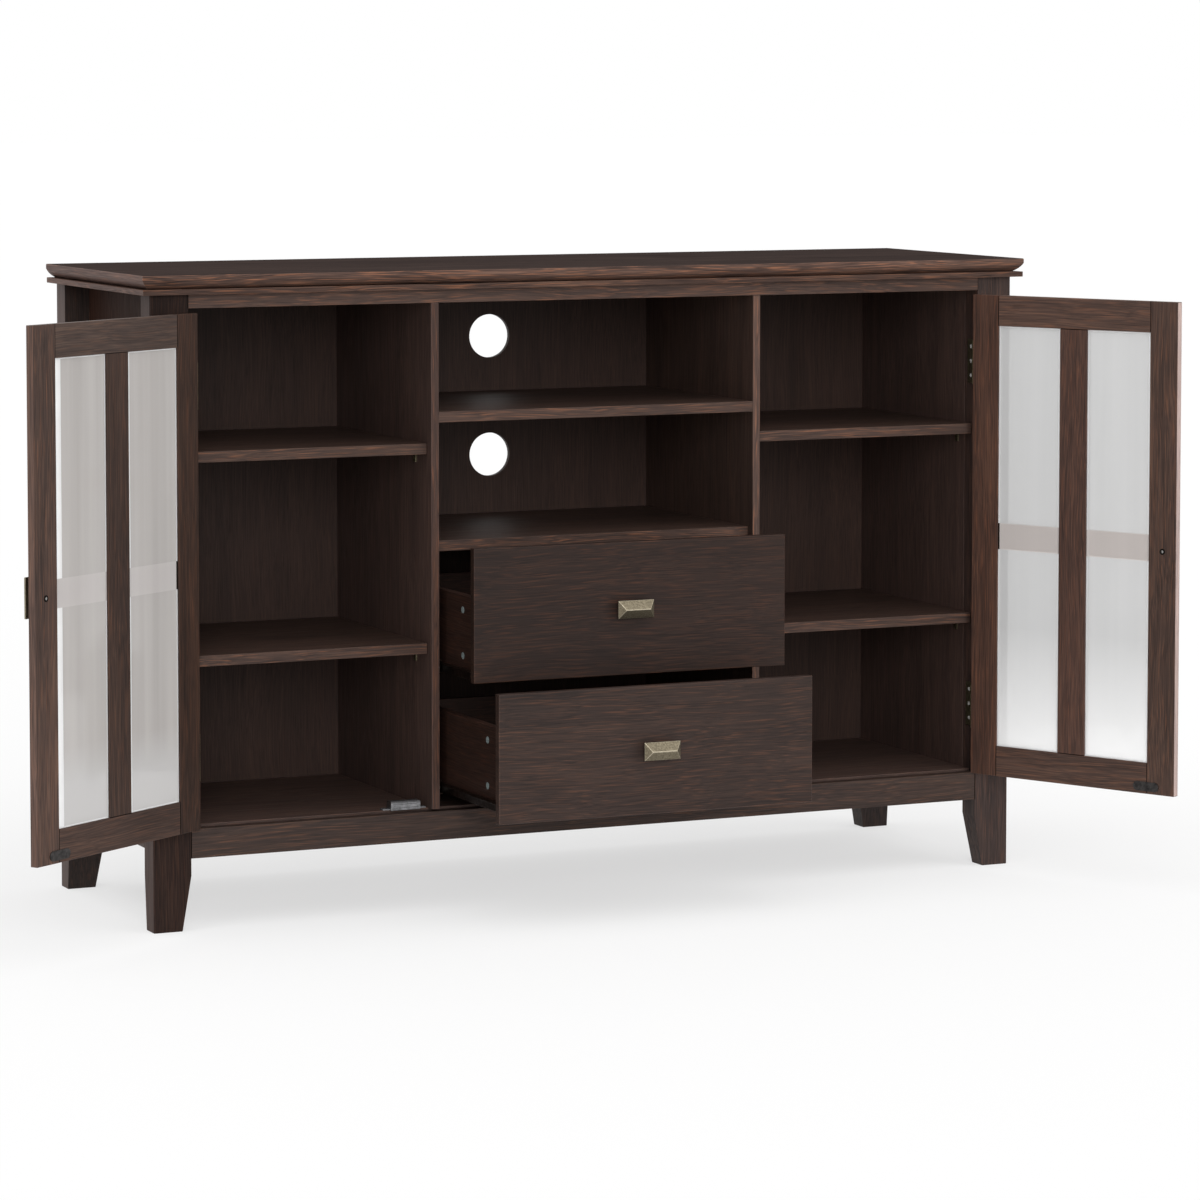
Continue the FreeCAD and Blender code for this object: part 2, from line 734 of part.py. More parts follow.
def make_stand():
    """Every piece of the stand, by name, where it rests."""
    stand = {"top_slab": make_top_slab(), "sub_top": make_sub_top()}
    stand["front_top_rail"], stand["front_bottom_rail"] = make_front_rails()
    back_rails = make_back_rails()
    side_rails = make_side_rails()
    side_panel = make_side_panel()
    let_in = [stand["front_top_rail"], stand["front_bottom_rail"]] + back_rails + side_rails
    let_in += [side_panel, mirrored(side_panel)]
    stand.update(make_posts(let_in))
    stand["back_rails"] = group(back_rails)
    stand["side_rails"] = group(side_rails)

    divider = make_divider()
    stand["side_panel_left"] = side_panel
    stand["side_panel_right"] = mirrored(side_panel)
    stand["divider_left"] = divider
    stand["divider_right"] = mirrored(divider)
    brackets = make_shelf_brackets()
    stand["shelf_brackets"] = group(brackets + [mirrored(bracket) for bracket in brackets])
    stand["carcass_top_panel"] = make_carcass_top_panel()
    stand["bottom_panel"] = make_bottom_panel()
    stand["back_panel"] = make_back_panel()
    stand["centre_shelf"] = make_centre_shelf(centre_shelf_top, front_y)
    stand["drawer_deck"] = make_centre_shelf(deck_top, deck_front_inset)
    for level, shelf_top in zip(("lower", "upper"), side_shelf_tops):
        shelf = make_side_shelf(shelf_top)
        stand["left_shelf_" + level] = shelf
        stand["right_shelf_" + level] = mirrored(shelf)
    catch = make_magnetic_catch()
    stand["magnetic_catches"] = group([catch, mirrored(catch)])

    post_leaves, hinge_pins, door_leaves = make_hinges()
    stand["hinge_post_leaves"] = group(post_leaves + [mirrored(leaf) for leaf in post_leaves])
    stand["hinge_pins"] = group(hinge_pins + [mirrored(pin) for pin in hinge_pins])
    door = make_door()
    door["hinge_leaves"] = group(door_leaves)
    for name, shape in door.items():
        stand["left_door_" + name] = left_door_pose(shape)
        stand["right_door_" + name] = right_door_pose(shape)

    channels = []
    drawers = (("upper", upper_front_bottom, upper_front_height, upper_side_rise, upper_drawer_pull),
               ("lower", lower_front_bottom, lower_front_height, lower_side_rise, lower_drawer_pull))
    for level, front_bottom, front_height, side_rise, pull in drawers:
        side_bottom = front_bottom + side_rise
        drawer = make_drawer(front_bottom, front_height, side_bottom)
        members, rails = make_runner(side_bottom)
        drawer["runners"] = group(members + [mirrored(member) for member in members])
        channels += rails + [mirrored(rail) for rail in rails]
        for name, shape in drawer.items():
            stand[level + "_drawer_" + name] = moved(shape, 0, -pull, 0)
    stand["cabinet_runners"] = group(channels)
    return stand


def save(stand):
    """Write each piece with the origin at the centre of the top face."""
    os.makedirs("parts", exist_ok=True)
    for name, shape in stand.items():
        placed = moved(shape, -middle_x, -stand_depth / 2, -stand_height)
        placed.exportStep("parts/" + name + ".step")
        print(name, len(placed.Solids), "solids, valid:", placed.isValid())


save(make_stand())
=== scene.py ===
import math

import bmesh
import bpy
from mathutils import Matrix, Vector


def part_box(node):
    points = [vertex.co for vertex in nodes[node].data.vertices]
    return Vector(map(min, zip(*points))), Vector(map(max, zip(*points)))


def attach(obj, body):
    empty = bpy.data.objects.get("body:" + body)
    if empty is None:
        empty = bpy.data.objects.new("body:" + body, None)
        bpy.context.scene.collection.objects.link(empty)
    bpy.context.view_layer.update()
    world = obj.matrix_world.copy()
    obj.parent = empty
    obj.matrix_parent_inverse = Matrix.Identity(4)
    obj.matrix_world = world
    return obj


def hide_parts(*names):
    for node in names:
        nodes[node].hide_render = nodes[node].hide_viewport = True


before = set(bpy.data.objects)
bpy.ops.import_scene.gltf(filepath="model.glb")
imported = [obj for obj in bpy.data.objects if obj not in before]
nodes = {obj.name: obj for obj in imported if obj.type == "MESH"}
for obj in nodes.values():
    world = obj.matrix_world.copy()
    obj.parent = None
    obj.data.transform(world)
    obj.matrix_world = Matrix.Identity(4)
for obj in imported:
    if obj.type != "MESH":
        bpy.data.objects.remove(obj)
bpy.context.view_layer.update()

mm = 0.001
scene = bpy.context.scene


# Where things are, in millimetres from the stand's front left floor corner

stand = {
    "middle": 673.0,
    "halfDepth": 209.0,
    "height": 888.0,
    "pinX": 69.7,              # left hinge pin, the right one is mirrored
    "pinY": 10.8,
    "doorEdgeX": 70.9,
    "doorBottom": 139.6,
    "doorHeight": 697.5,
    "frontY": 14.0,
    "leftAngle": -146.6,
    "rightAngle": 115.8,
    "pullAlong": 326.0,        # the door pulls, from the hinge edge and the door's foot
    "pullHigh": 345.75,
    "pulledOut": {"upper": 111.0, "lower": 196.0},
}

# the inner edges of a door's frame, from its hinge edge and from its top and foot
doorFrame = {"stiles": (45.0, 303.0), "mullion": (151.0, 197.0), "rails": 44.0, "jointWidth": 1.1}


def place(x, y, z):
    # a point of the stand in the frame's metres
    middle, halfDepth, height = stand["middle"], stand["halfDepth"], stand["height"]
    return Vector(((x - middle) * mm, (y - halfDepth) * mm, (z - height) * mm))


def doorTurn(side):
    return math.radians(stand[side + "Angle"])


def doorMatrix(side):
    # turns a shut door to where it rests
    sign = -1 if side == "left" else 1
    pin = place(stand["middle"] + sign * (stand["middle"] - stand["pinX"]), stand["pinY"], 0)
    pin.z = 0
    turn = Matrix.Rotation(doorTurn(side), 4, "Z")
    return Matrix.Translation(pin) @ turn @ Matrix.Translation(-pin)


def alongDoor(side, along):
    # the x of a point of the shut door, from its hinge edge
    x = stand["doorEdgeX"] + along
    return x if side == "left" else 2 * stand["middle"] - x


def onShutDoor(side, along):
    return place(alongDoor(side, along), 0, 0).x


def onDoor(side, along, depth, high):
    # a point of the door, from its hinge edge, front face and bottom, where it rests
    spot = place(alongDoor(side, along), stand["frontY"] + depth, stand["doorBottom"] + high)
    return doorMatrix(side) @ spot


# Small helpers for work in edit mode

def pickNothing():
    if bpy.context.mode != "OBJECT":
        bpy.ops.object.mode_set(mode="OBJECT")
    bpy.ops.object.select_all(action="DESELECT")


def makeActive(piece):
    pickNothing()
    piece.select_set(True)
    bpy.context.view_layer.objects.active = piece


def editMesh(piece):
    makeActive(piece)
    bpy.ops.object.mode_set(mode="EDIT")
    bpy.ops.mesh.select_all(action="DESELECT")


def leaveEdit():
    bpy.ops.object.mode_set(mode="OBJECT")


def pickFaces(piece, test):
    # selects the faces whose middle and normal pass the test, in edit mode
    bpy.ops.mesh.select_mode(type="FACE")
    mesh = bmesh.from_edit_mesh(piece.data)
    for face in mesh.faces:
        face.select_set(bool(test(face.calc_center_median(), face.normal)))
    bmesh.update_edit_mesh(piece.data)


def pickPoints(piece, test):
    bpy.ops.mesh.select_mode(type="VERT")
    mesh = bmesh.from_edit_mesh(piece.data)
    for point in mesh.verts:
        point.select_set(bool(test(point.co)))
    mesh.select_flush_mode()
    bmesh.update_edit_mesh(piece.data)


def fixNormals(piece):
    editMesh(piece)
    bpy.ops.mesh.select_all(action="SELECT")
    bpy.ops.mesh.remove_doubles(threshold=0.000002)
    bpy.ops.mesh.normals_make_consistent(inside=False)
    leaveEdit()


def smoothByAngle(piece, degrees):
    # flat faces keep their own direction beside their rounded edges
    makeActive(piece)
    bpy.ops.object.shade_smooth_by_angle(angle=math.radians(degrees))
    weighed = piece.modifiers.new("weighedNormals", "WEIGHTED_NORMAL")
    weighed.keep_sharp = True
    bpy.ops.object.modifier_apply(modifier=weighed.name)


def roundEdges(piece, width, segments=2, slotIndex=-1, angle=35):
    # a live bevel, applied, whose faces may take a finish of their own
    bevel = piece.modifiers.new("roundedEdges", "BEVEL")
    bevel.width = width
    bevel.segments = segments
    bevel.limit_method = "ANGLE"
    bevel.angle_limit = math.radians(angle)
    bevel.material = slotIndex
    bevel.use_clamp_overlap = True
    makeActive(piece)
    bpy.ops.object.modifier_apply(modifier=bevel.name)


def joinPieces(pieces, name):
    pickNothing()
    for piece in pieces:
        piece.select_set(True)
    bpy.context.view_layer.objects.active = pieces[0]
    bpy.ops.object.join()
    joined = bpy.context.view_layer.objects.active
    joined.name = name
    joined.data.name = name
    return joined


def settle(piece, body, slotName, *replaced):
    # the last step of every piece: its body and the node it stands for; slotName, its finish's slot, is not
    # used
    pickNothing()
    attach(piece, body)
    if replaced:
        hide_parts(*replaced)


def copyAt(master, name, matrix):
    # a copy with its own mesh, put in place inside that mesh
    twin = master.copy()
    twin.data = master.data.copy()
    twin.name = name
    twin.data.name = name
    scene.collection.objects.link(twin)
    twin.data.transform(matrix)
    twin.data.update()
    return twin


def tidyCopy(nodeName, name):
    # a copy of a node, with its loose triangles merged into whole faces
    node = nodes[nodeName]
    twin = node.copy()
    twin.data = node.data.copy()
    twin.parent = None
    twin.matrix_world = Matrix.Identity(4)
    twin.name = name
    twin.data.name = name
    for key in list(twin.keys()):
        del twin[key]
    scene.collection.objects.link(twin)
    twin.hide_render = False
    editMesh(twin)
    bpy.ops.mesh.select_mode(type="VERT")
    bpy.ops.mesh.select_all(action="SELECT")
    bpy.ops.mesh.customdata_custom_splitnormals_clear()
    bpy.ops.mesh.remove_doubles(threshold=0.000005)
    bpy.ops.mesh.dissolve_limited(angle_limit=math.radians(0.4))
    leaveEdit()
    return twin


# Shader helpers

class Sketch:
    # the node tree of a material or the world, with short calls to add and link its nodes
    def __init__(self, name, isWorld=False):
        kind = bpy.data.worlds if isWorld else bpy.data.materials
        self.owner = kind.new(name)
        self.owner.use_nodes = True
        self.tree = self.owner.node_tree
        self.shader = self.tree.nodes["Background" if isWorld else "Principled BSDF"]
        self.coords = self.add("ShaderNodeTexCoord")

    def add(self, kind, **settings):
        node = self.tree.nodes.new(kind)
        for key, value in settings.items():
            setattr(node, key, value)
        return node

    def link(self, start, end):
        self.tree.links.new(start, end)

    def mapping(self, source, scale=(1, 1, 1), turn=0.0, shift=(0, 0, 0)):
        node = self.add("ShaderNodeMapping")
        node.inputs["Scale"].default_value = scale
        node.inputs["Rotation"].default_value = (0, 0, turn)
        node.inputs["Location"].default_value = shift
        self.link(source, node.inputs["Vector"])
        return node.outputs["Vector"]

    def noise(self, source, scale, detail=3.0, roughness=0.55, distortion=0.0):
        node = self.add("ShaderNodeTexNoise")
        node.inputs["Scale"].default_value = scale
        node.inputs["Detail"].default_value = detail
        node.inputs["Roughness"].default_value = roughness
        node.inputs["Distortion"].default_value = distortion
        self.link(source, node.inputs["Vector"])
        return node.outputs["Fac"]

    def between(self, source, low, high, newLow=0.0, newHigh=1.0):
        node = self.add("ShaderNodeMapRange", clamp=True)
        limits = {"From Min": low, "From Max": high, "To Min": newLow, "To Max": newHigh}
        for key, value in limits.items():
            node.inputs[key].default_value = value
        self.link(source, node.inputs["Value"])
        return node.outputs["Result"]

    def sums(self, operation, first, second):
        node = self.add("ShaderNodeMath", operation=operation)
        for index, value in enumerate((first, second)):
            if isinstance(value, (int, float)):
                node.inputs[index].default_value = value
            else:
                self.link(value, node.inputs[index])
        return node.outputs["Value"]

    def ramp(self, source, stops):
        node = self.add("ShaderNodeValToRGB")
        edges = node.color_ramp.elements
        edges[0].position, edges[0].color = stops[0][0], (*stops[0][1], 1)
        edges[1].position, edges[1].color = stops[-1][0], (*stops[-1][1], 1)
        for position, colour in stops[1:-1]:
            edge = edges.new(position)
            edge.color = (*colour, 1)
        self.link(source, node.inputs["Fac"])
        return node.outputs["Color"]

    def blend(self, factor, first, second):
        node = self.add("ShaderNodeMix", data_type="RGBA", blend_type="MIX")
        for index, value in ((0, factor), (6, first), (7, second)):
            if isinstance(value, tuple):
                node.inputs[index].default_value = (*value, 1)
            elif isinstance(value, (int, float)):
                node.inputs[index].default_value = value
            else:
                self.link(value, node.inputs[index])
        return node.outputs[2]

    def bump(self, source, strength, distance):
        node = self.add("ShaderNodeBump")
        node.inputs["Strength"].default_value = strength
        node.inputs["Distance"].default_value = distance
        self.link(source, node.inputs["Height"])
        self.link(node.outputs["Normal"], self.shader.inputs["Normal"])

    def set(self, **values):
        for key, value in values.items():
            socket = self.shader.inputs[key.replace("_", " ")]
            socket.default_value = (*value, 1) if isinstance(value, tuple) else value


def fromScreen(red, green, blue):
    # a colour read as 0 to 255 on a screen, as the shader's linear numbers
    def line(value):
        value /= 255
        return value / 12.92 if value <= 0.04045 else ((value + 0.055) / 1.055) ** 2.4
    return line(red), line(green), line(blue)


# Dark stained wood

wood = {
    "dark": fromScreen(34, 26, 23),
    "middle": fromScreen(62, 47, 41),
    "light": fromScreen(88, 66, 55),
    "fleck": fromScreen(128, 84, 60),
    "pore": fromScreen(23, 17, 15),
    "roughness": (0.46, 0.62), "specular": 0.22, "ior": 1.45,
    "swirl": 0.012,            # how far, in metres, the grain wanders round knots
    "swirlPerMetre": 7, "swirlAlong": 0.45,         # along: the scale with the grain, beside 1 across it
    "figurePerMetre": 45, "figureAlong": 0.06, "figureShare": 0.4,
    "fibrePerMetre": 650, "fibreAlong": 0.012, "fibreShare": 0.6, "fibreEdges": (0.3, 0.7),
    "cloudPerMetre": 5.0, "cloudAlong": 0.4, "cloudEdges": (0.3, 0.7), "cloudShade": 1.25,
    "fleckPerMetre": 620, "fleckAlong": 0.03, "fleckEdges": (0.54, 0.72), "fleckShift": (3.1, 1.7, 2.3),
    "porePerMetre": 900, "poreAlong": 0.03, "poreEdges": (0.56, 0.68), "poreStrength": 0.35,
    "knotPerMetre": 7, "knotAlong": 0.3, "knotEdges": (0.03, 0.16), "knotStrength": 0.5, "knotShade": 0.8,
    "toneSpread": 0.23,        # of the figure, from the dark to the middle tone
    "fibreRelief": 0.6, "poreRelief": 0.8, "bumpStrength": 0.35, "bumpDepth": 0.00012,
}


def stainedWood(name, grain="Z", turn=0.0, shift=(0, 0, 0), tint=(1, 1, 1), contrast=1.0,
                lift=1.0, gloss=1.0, fleck=0.22, cloud=0.35):
    # the grain runs along one axis, which a door's rails turn to follow the door
    sketch = Sketch(name)
    turned = sketch.mapping(sketch.coords.outputs["Object"], turn=turn, shift=shift)
    axis = "XYZ".index(grain)

    def along(share):
        scale = [1.0, 1.0, 1.0]
        scale[axis] = share
        return tuple(scale)

    def tinted(colour, share=1.0):
        return tuple(min(value * part * lift * share, 1.0) for value, part in zip(colour, tint))

    swirl = sketch.add("ShaderNodeTexNoise")
    swirl.inputs["Scale"].default_value = wood["swirlPerMetre"]
    swirl.inputs["Detail"].default_value = 2.0
    sketch.link(sketch.mapping(turned, along(wood["swirlAlong"])), swirl.inputs["Vector"])
    bent = sketch.add("ShaderNodeMix", data_type="RGBA", blend_type="LINEAR_LIGHT")
    bent.inputs[0].default_value = wood["swirl"]
    sketch.link(turned, bent.inputs[6])
    sketch.link(swirl.outputs["Color"], bent.inputs[7])
    curled = bent.outputs[2]

    def grainNoise(kind, source, detail, roughness, distortion=0.0, shift=(0, 0, 0)):
        stretched = sketch.mapping(source, along(wood[kind + "Along"]), shift=shift)
        return sketch.noise(stretched, wood[kind + "PerMetre"], detail, roughness, distortion)

    figure = grainNoise("figure", curled, 4.0, 0.55, 0.6)
    clouds = grainNoise("cloud", turned, 2.0, 0.5)
    fibre = grainNoise("fibre", curled, 2.0, 0.6, 0.2)
    flecks = grainNoise("fleck", curled, 1.0, 0.5, shift=wood["fleckShift"])
    pores = grainNoise("pore", curled, 1.0, 0.5)
    spread = wood["toneSpread"] / contrast
    mixed = sketch.sums("ADD", sketch.sums("MULTIPLY", figure, wood["figureShare"]),
                        sketch.sums("MULTIPLY", fibre, wood["fibreShare"]))
    tones = [(0.5 - spread, tinted(wood["dark"])), (0.5, tinted(wood["middle"])),
             (0.5 + spread, tinted(wood["light"]))]
    cloudMask = sketch.between(clouds, *wood["cloudEdges"], 0.0, cloud)
    colour = sketch.blend(cloudMask, sketch.ramp(mixed, tones), tinted(wood["dark"], wood["cloudShade"]))
    knots = sketch.add("ShaderNodeTexVoronoi", feature="SMOOTH_F1")
    knots.inputs["Scale"].default_value = wood["knotPerMetre"]
    sketch.link(sketch.mapping(curled, along(wood["knotAlong"])), knots.inputs["Vector"])
    knotMask = sketch.between(knots.outputs["Distance"], *wood["knotEdges"], wood["knotStrength"], 0.0)
    colour = sketch.blend(knotMask, colour, tinted(wood["dark"], wood["knotShade"]))
    fleckMask = sketch.between(flecks, *wood["fleckEdges"], 0.0, fleck)
    colour = sketch.blend(fleckMask, colour, tinted(wood["fleck"]))
    poreMask = sketch.between(pores, *wood["poreEdges"], 0.0, wood["poreStrength"])
    colour = sketch.blend(poreMask, colour, tinted(wood["pore"]))
    sketch.link(colour, sketch.shader.inputs["Base Color"])
    low, high = wood["roughness"]
    rough = sketch.between(fibre, *wood["fibreEdges"], high, low)
    sketch.link(rough, sketch.shader.inputs["Roughness"])
    relief = sketch.sums("SUBTRACT", sketch.sums("MULTIPLY", fibre, wood["fibreRelief"]),
                         sketch.sums("MULTIPLY", poreMask, wood["poreRelief"]))
    sketch.bump(relief, wood["bumpStrength"], wood["bumpDepth"])
    sketch.set(Specular_IOR_Level=wood["specular"] * gloss, IOR=wood["ior"])
    return sketch.owner


# Metals, glass and plastics

metals = {                     # dark, light and the range of roughness
    "pullBrass": ((0.13, 0.11, 0.078), (0.25, 0.215, 0.15), (0.46, 0.62)),
    "pullBrassEdge": ((0.30, 0.26, 0.19), (0.52, 0.46, 0.35), (0.3, 0.42)),
    "hingeBronze": ((0.15, 0.13, 0.08), (0.36, 0.32, 0.2), (0.35, 0.55)),
    "strikeSteel": ((0.03, 0.028, 0.028), (0.075, 0.07, 0.068), (0.35, 0.5)),
    "screwSteel": ((0.22, 0.21, 0.2), (0.55, 0.54, 0.52), (0.25, 0.4)),
    "catchGrey": ((0.16, 0.16, 0.165), (0.30, 0.30, 0.31), (0.3, 0.5)),
    "runnerEnamel": ((0.022, 0.015, 0.012), (0.045, 0.031, 0.025), (0.35, 0.5)),
}
patinaLook = {
    "perMetre": {"pullBrass": 420}, "usualPerMetre": 160, "speckPerMetre": 1400,
    "patinaShare": 0.7, "speckShare": 0.3, "darkEdge": 0.36, "lightEdge": 0.62,
    "roughEdges": (0.35, 0.65), "speckRelief": 0.4, "bumpStrength": 0.25, "bumpDepth": 0.00006,
}


def agedMetal(name, dark, light, roughness):
    sketch = Sketch(name)
    objectCoords = sketch.coords.outputs["Object"]
    perMetre = patinaLook["perMetre"].get(name, patinaLook["usualPerMetre"])
    patina = sketch.noise(sketch.mapping(objectCoords), perMetre, 4.0, 0.6)
    specks = sketch.noise(sketch.mapping(objectCoords), patinaLook["speckPerMetre"], 2.0, 0.5)
    mottle = sketch.sums("ADD", sketch.sums("MULTIPLY", patina, patinaLook["patinaShare"]),
                         sketch.sums("MULTIPLY", specks, patinaLook["speckShare"]))
    colour = sketch.ramp(mottle, [(patinaLook["darkEdge"], dark), (patinaLook["lightEdge"], light)])
    sketch.link(colour, sketch.shader.inputs["Base Color"])
    low, high = roughness
    rough = sketch.between(patina, *patinaLook["roughEdges"], high, low)
    sketch.link(rough, sketch.shader.inputs["Roughness"])
    relief = sketch.sums("ADD", patina, sketch.sums("MULTIPLY", specks, patinaLook["speckRelief"]))
    sketch.bump(relief, patinaLook["bumpStrength"], patinaLook["bumpDepth"])
    sketch.set(Metallic=1.0)
    return sketch.owner


# the film's greys differ between the two doors, and over their cross bars, as painted light
leftGrey, rightWarm = fromScreen(184, 179, 177), fromScreen(218, 210, 206)
# heights, in metres, between which a film turns to the whiter colour of its foot, a painted reflection
leftTurns, rightTurns = (-0.60, -0.65), (-0.53, -0.70)
filmLooks = {
    "leftFilmAndPaintedReflection": {"colour": fromScreen(177, 173, 170), "foot": fromScreen(190, 188, 187),
                        "alpha": 0.86, "turns": leftTurns, "streaks": 0.1},
    "rightFilmAndPaintedReflection": {"colour": fromScreen(206, 206, 206), "foot": fromScreen(247, 247, 247),
                         "alpha": 0.7, "turns": rightTurns, "streaks": 0.03},
    "leftFilmOverBar": {"colour": leftGrey, "foot": leftGrey,
                        "alpha": 0.92, "turns": leftTurns, "streaks": 0.06},
    "rightFilmOverBar": {"colour": rightWarm, "foot": rightWarm,
                         "alpha": 0.7, "turns": rightTurns, "streaks": 0.03},
}
glassLook = {
    "wavePerMetre": 30, "waveAlong": 0.03, "waveEdges": (0.3, 0.7), "roughness": (0.04, 0.08),
    # borderColour: near white, a painted highlight
    "borderPerMetre": 40, "borderColour": fromScreen(238, 238, 238), "borderShade": 0.96,
    "borderAlpha": 0.75, "borderRoughness": (0.05, 0.12), "specular": 0.5, "ior": 1.5,
}


def glassFilmAndPaintedReflection(name, look):
    # a pale film over clear glass, which also stands in for the glass's reflections of the white
    # surroundings, painted whiter towards the foot of the pane as a painted reflection
    sketch = Sketch(name)
    stretched = sketch.mapping(sketch.coords.outputs["Object"], (1, 1, glassLook["waveAlong"]))
    wave = sketch.noise(stretched, glassLook["wavePerMetre"], 3.0)
    darker = tuple(v * (1 - look["streaks"]) for v in look["colour"])
    lighter = tuple(min(v * (1 + look["streaks"]), 1.0) for v in look["colour"])
    first, last = glassLook["waveEdges"]
    colour = sketch.ramp(wave, [(first, darker), (last, lighter)])
    apart = sketch.add("ShaderNodeSeparateXYZ")
    sketch.link(sketch.coords.outputs["Object"], apart.inputs["Vector"])
    foot = sketch.between(apart.outputs["Z"], *look["turns"])
    sketch.link(sketch.blend(foot, colour, look["foot"]), sketch.shader.inputs["Base Color"])
    rough = sketch.between(wave, first, last, *glassLook["roughness"])
    sketch.link(rough, sketch.shader.inputs["Roughness"])
    sketch.set(Alpha=look["alpha"], Specular_IOR_Level=glassLook["specular"], IOR=glassLook["ior"])
    return sketch.owner


def glassBorderHighlight(name):
    # the ground and polished border of a pane, painted near white as a painted highlight
    sketch = Sketch(name)
    objectCoords = sketch.coords.outputs["Object"]
    wave = sketch.noise(sketch.mapping(objectCoords), glassLook["borderPerMetre"], 1.0)
    first, last = glassLook["waveEdges"]
    colour = glassLook["borderColour"]
    darker = tuple(v * glassLook["borderShade"] for v in colour)
    sketch.link(sketch.ramp(wave, [(first, darker), (last, colour)]), sketch.shader.inputs["Base Color"])
    rough = sketch.between(wave, first, last, *glassLook["borderRoughness"])
    sketch.link(rough, sketch.shader.inputs["Roughness"])
    sketch.set(Alpha=glassLook["borderAlpha"], Specular_IOR_Level=glassLook["specular"],
               IOR=glassLook["ior"])
    return sketch.owner


plastics = {                   # colour, roughness, specular
    "camZinc": ((0.15, 0.18, 0.18), 0.3, 0.5),
    "screwNickel": ((0.5, 0.49, 0.46), 0.3, 0.5),
    "rollerNylon": (fromScreen(205, 203, 196), 0.4, 0.5),
    # near black, painted shade for recesses
    "paintedShadeBlack": ((0.008, 0.007, 0.006), 0.6, 0.03),
}
mottleLook = {"perMetre": 600, "edges": (0.3, 0.7), "shade": 0.93, "roughnessSpread": 0.1,
              "bumpStrength": 0.1, "bumpDepth": 0.00003}


def plainPlastic(name, colour, roughness, specular):
    # nylon, painted shade for dark recesses, and platings that lie too deep in shade for a metal's
    # reflections
    sketch = Sketch(name)
    mottle = sketch.noise(sketch.mapping(sketch.coords.outputs["Object"]), mottleLook["perMetre"], 2.0)
    first, last = mottleLook["edges"]
    darker = tuple(v * mottleLook["shade"] for v in colour)
    sketch.link(sketch.ramp(mottle, [(first, darker), (last, colour)]), sketch.shader.inputs["Base Color"])
    roughest = roughness + mottleLook["roughnessSpread"]
    rough = sketch.between(mottle, first, last, roughness, roughest)
    sketch.link(rough, sketch.shader.inputs["Roughness"])
    sketch.bump(mottle, mottleLook["bumpStrength"], mottleLook["bumpDepth"])
    sketch.set(Specular_IOR_Level=specular)
    return sketch.owner


finishes = {name: agedMetal(name, *look) for name, look in metals.items()}
finishes.update({name: glassFilmAndPaintedReflection(name, look) for name, look in filmLooks.items()})
finishes.update({name: plainPlastic(name, *look) for name, look in plastics.items()})
finishes["glassBorderPaintedHighlight"] = glassBorderHighlight("glassBorderPaintedHighlight")
print("materials: metals, glass and plastics")


# Boards: the body, slot and grain of each wooden node, in the order that gives each its stretch of grain

carcassBoards = (
    ("wood_top", "X", ("top_slab", "sub_top")),
    ("wood_upright", "Z", ("post_front_left", "post_front_right", "post_back_left",
                           "post_back_right")),
    ("wood_across", "X", ("front_top_rail", "front_bottom_rail", "back_rails")),
    ("wood_deep", "Y", ("side_rails",)),
    ("wood_panel", "Z", ("side_panel_left", "side_panel_right", "divider_left", "divider_right")),
    ("wood_shelf", "X", ("carcass_top_panel", "bottom_panel", "centre_shelf", "drawer_deck",
                         "left_shelf_lower", "left_shelf_upper", "right_shelf_lower",
                         "right_shelf_upper")),
    ("back_board", "Z", ("back_panel",)),
)
doorUprights = ("stile_hinge", "stile_free", "mullion")
doorAcross = ("rail_top", "rail_bottom", "cross_bars")
drawerBoards = (("front", "wood_across", "X"), ("sides", "drawer_wood", "Y"),
                ("back", "drawer_wood", "X"), ("bottom", "back_board", "X"))
# edge: how wide an arris is, in millimetres, arris: its lightness beside the board's, a painted highlight
# along the edge
arrisLooks = {
    "carcass": {"edge": 0.7, "arris": 1.4},
    "door": {"edge": 0.9, "arris": 1.2},
    "top_slab": {"edge": 0.5}, "sub_top": {"edge": 0.6}, "back_panel": {"edge": 0.4},
}
woodSmooth = 50.0              # degrees

woodPieces = {}


def listBoard(name, body, slotName, grain, look, turn=0.0):
    woodPieces[name] = {"body": body, "slot": slotName, "grain": grain, "turn": turn, **look}


for slotName, grain, names in carcassBoards:
    for name in names:
        listBoard(name, "carcass", slotName, grain, {**arrisLooks["carcass"], **arrisLooks.get(name, {})})
for side in ("left", "right"):
    body = side + "_door"
    for part in doorUprights:
        listBoard(body + "_" + part, body, "wood_upright", "Z", arrisLooks["door"])
    for part in doorAcross:
        listBoard(body + "_" + part, body, body + "_across", "X", arrisLooks["door"], -doorTurn(side))
for level in ("upper", "lower"):
    body = level + "_drawer"
    for part, slotName, grain in drawerBoards:
        listBoard(body + "_" + part, body, slotName, grain, arrisLooks["carcass"])

woodLooks = {
    "wood_top": {"contrast": 1.5, "gloss": 0.5, "fleck": 0.5},
    "wood_upright": {"fleck": 0.22, "contrast": 1.15},
    "wood_across": {"contrast": 0.85, "fleck": 0.3, "cloud": 0.6},
    "wood_deep": {},
    "left_door_across": {"fleck": 0.14, "contrast": 0.95},
    "right_door_across": {"fleck": 0.2, "contrast": 1.0},
    "wood_panel": {"contrast": 0.7, "fleck": 0.08},
    "wood_shelf": {"contrast": 0.8, "fleck": 0.12},
    "drawer_wood": {"contrast": 0.8, "tint": (1.08, 0.95, 0.92), "fleck": 0.2},
    "back_board": {"contrast": 0.6, "fleck": 0.05},
}
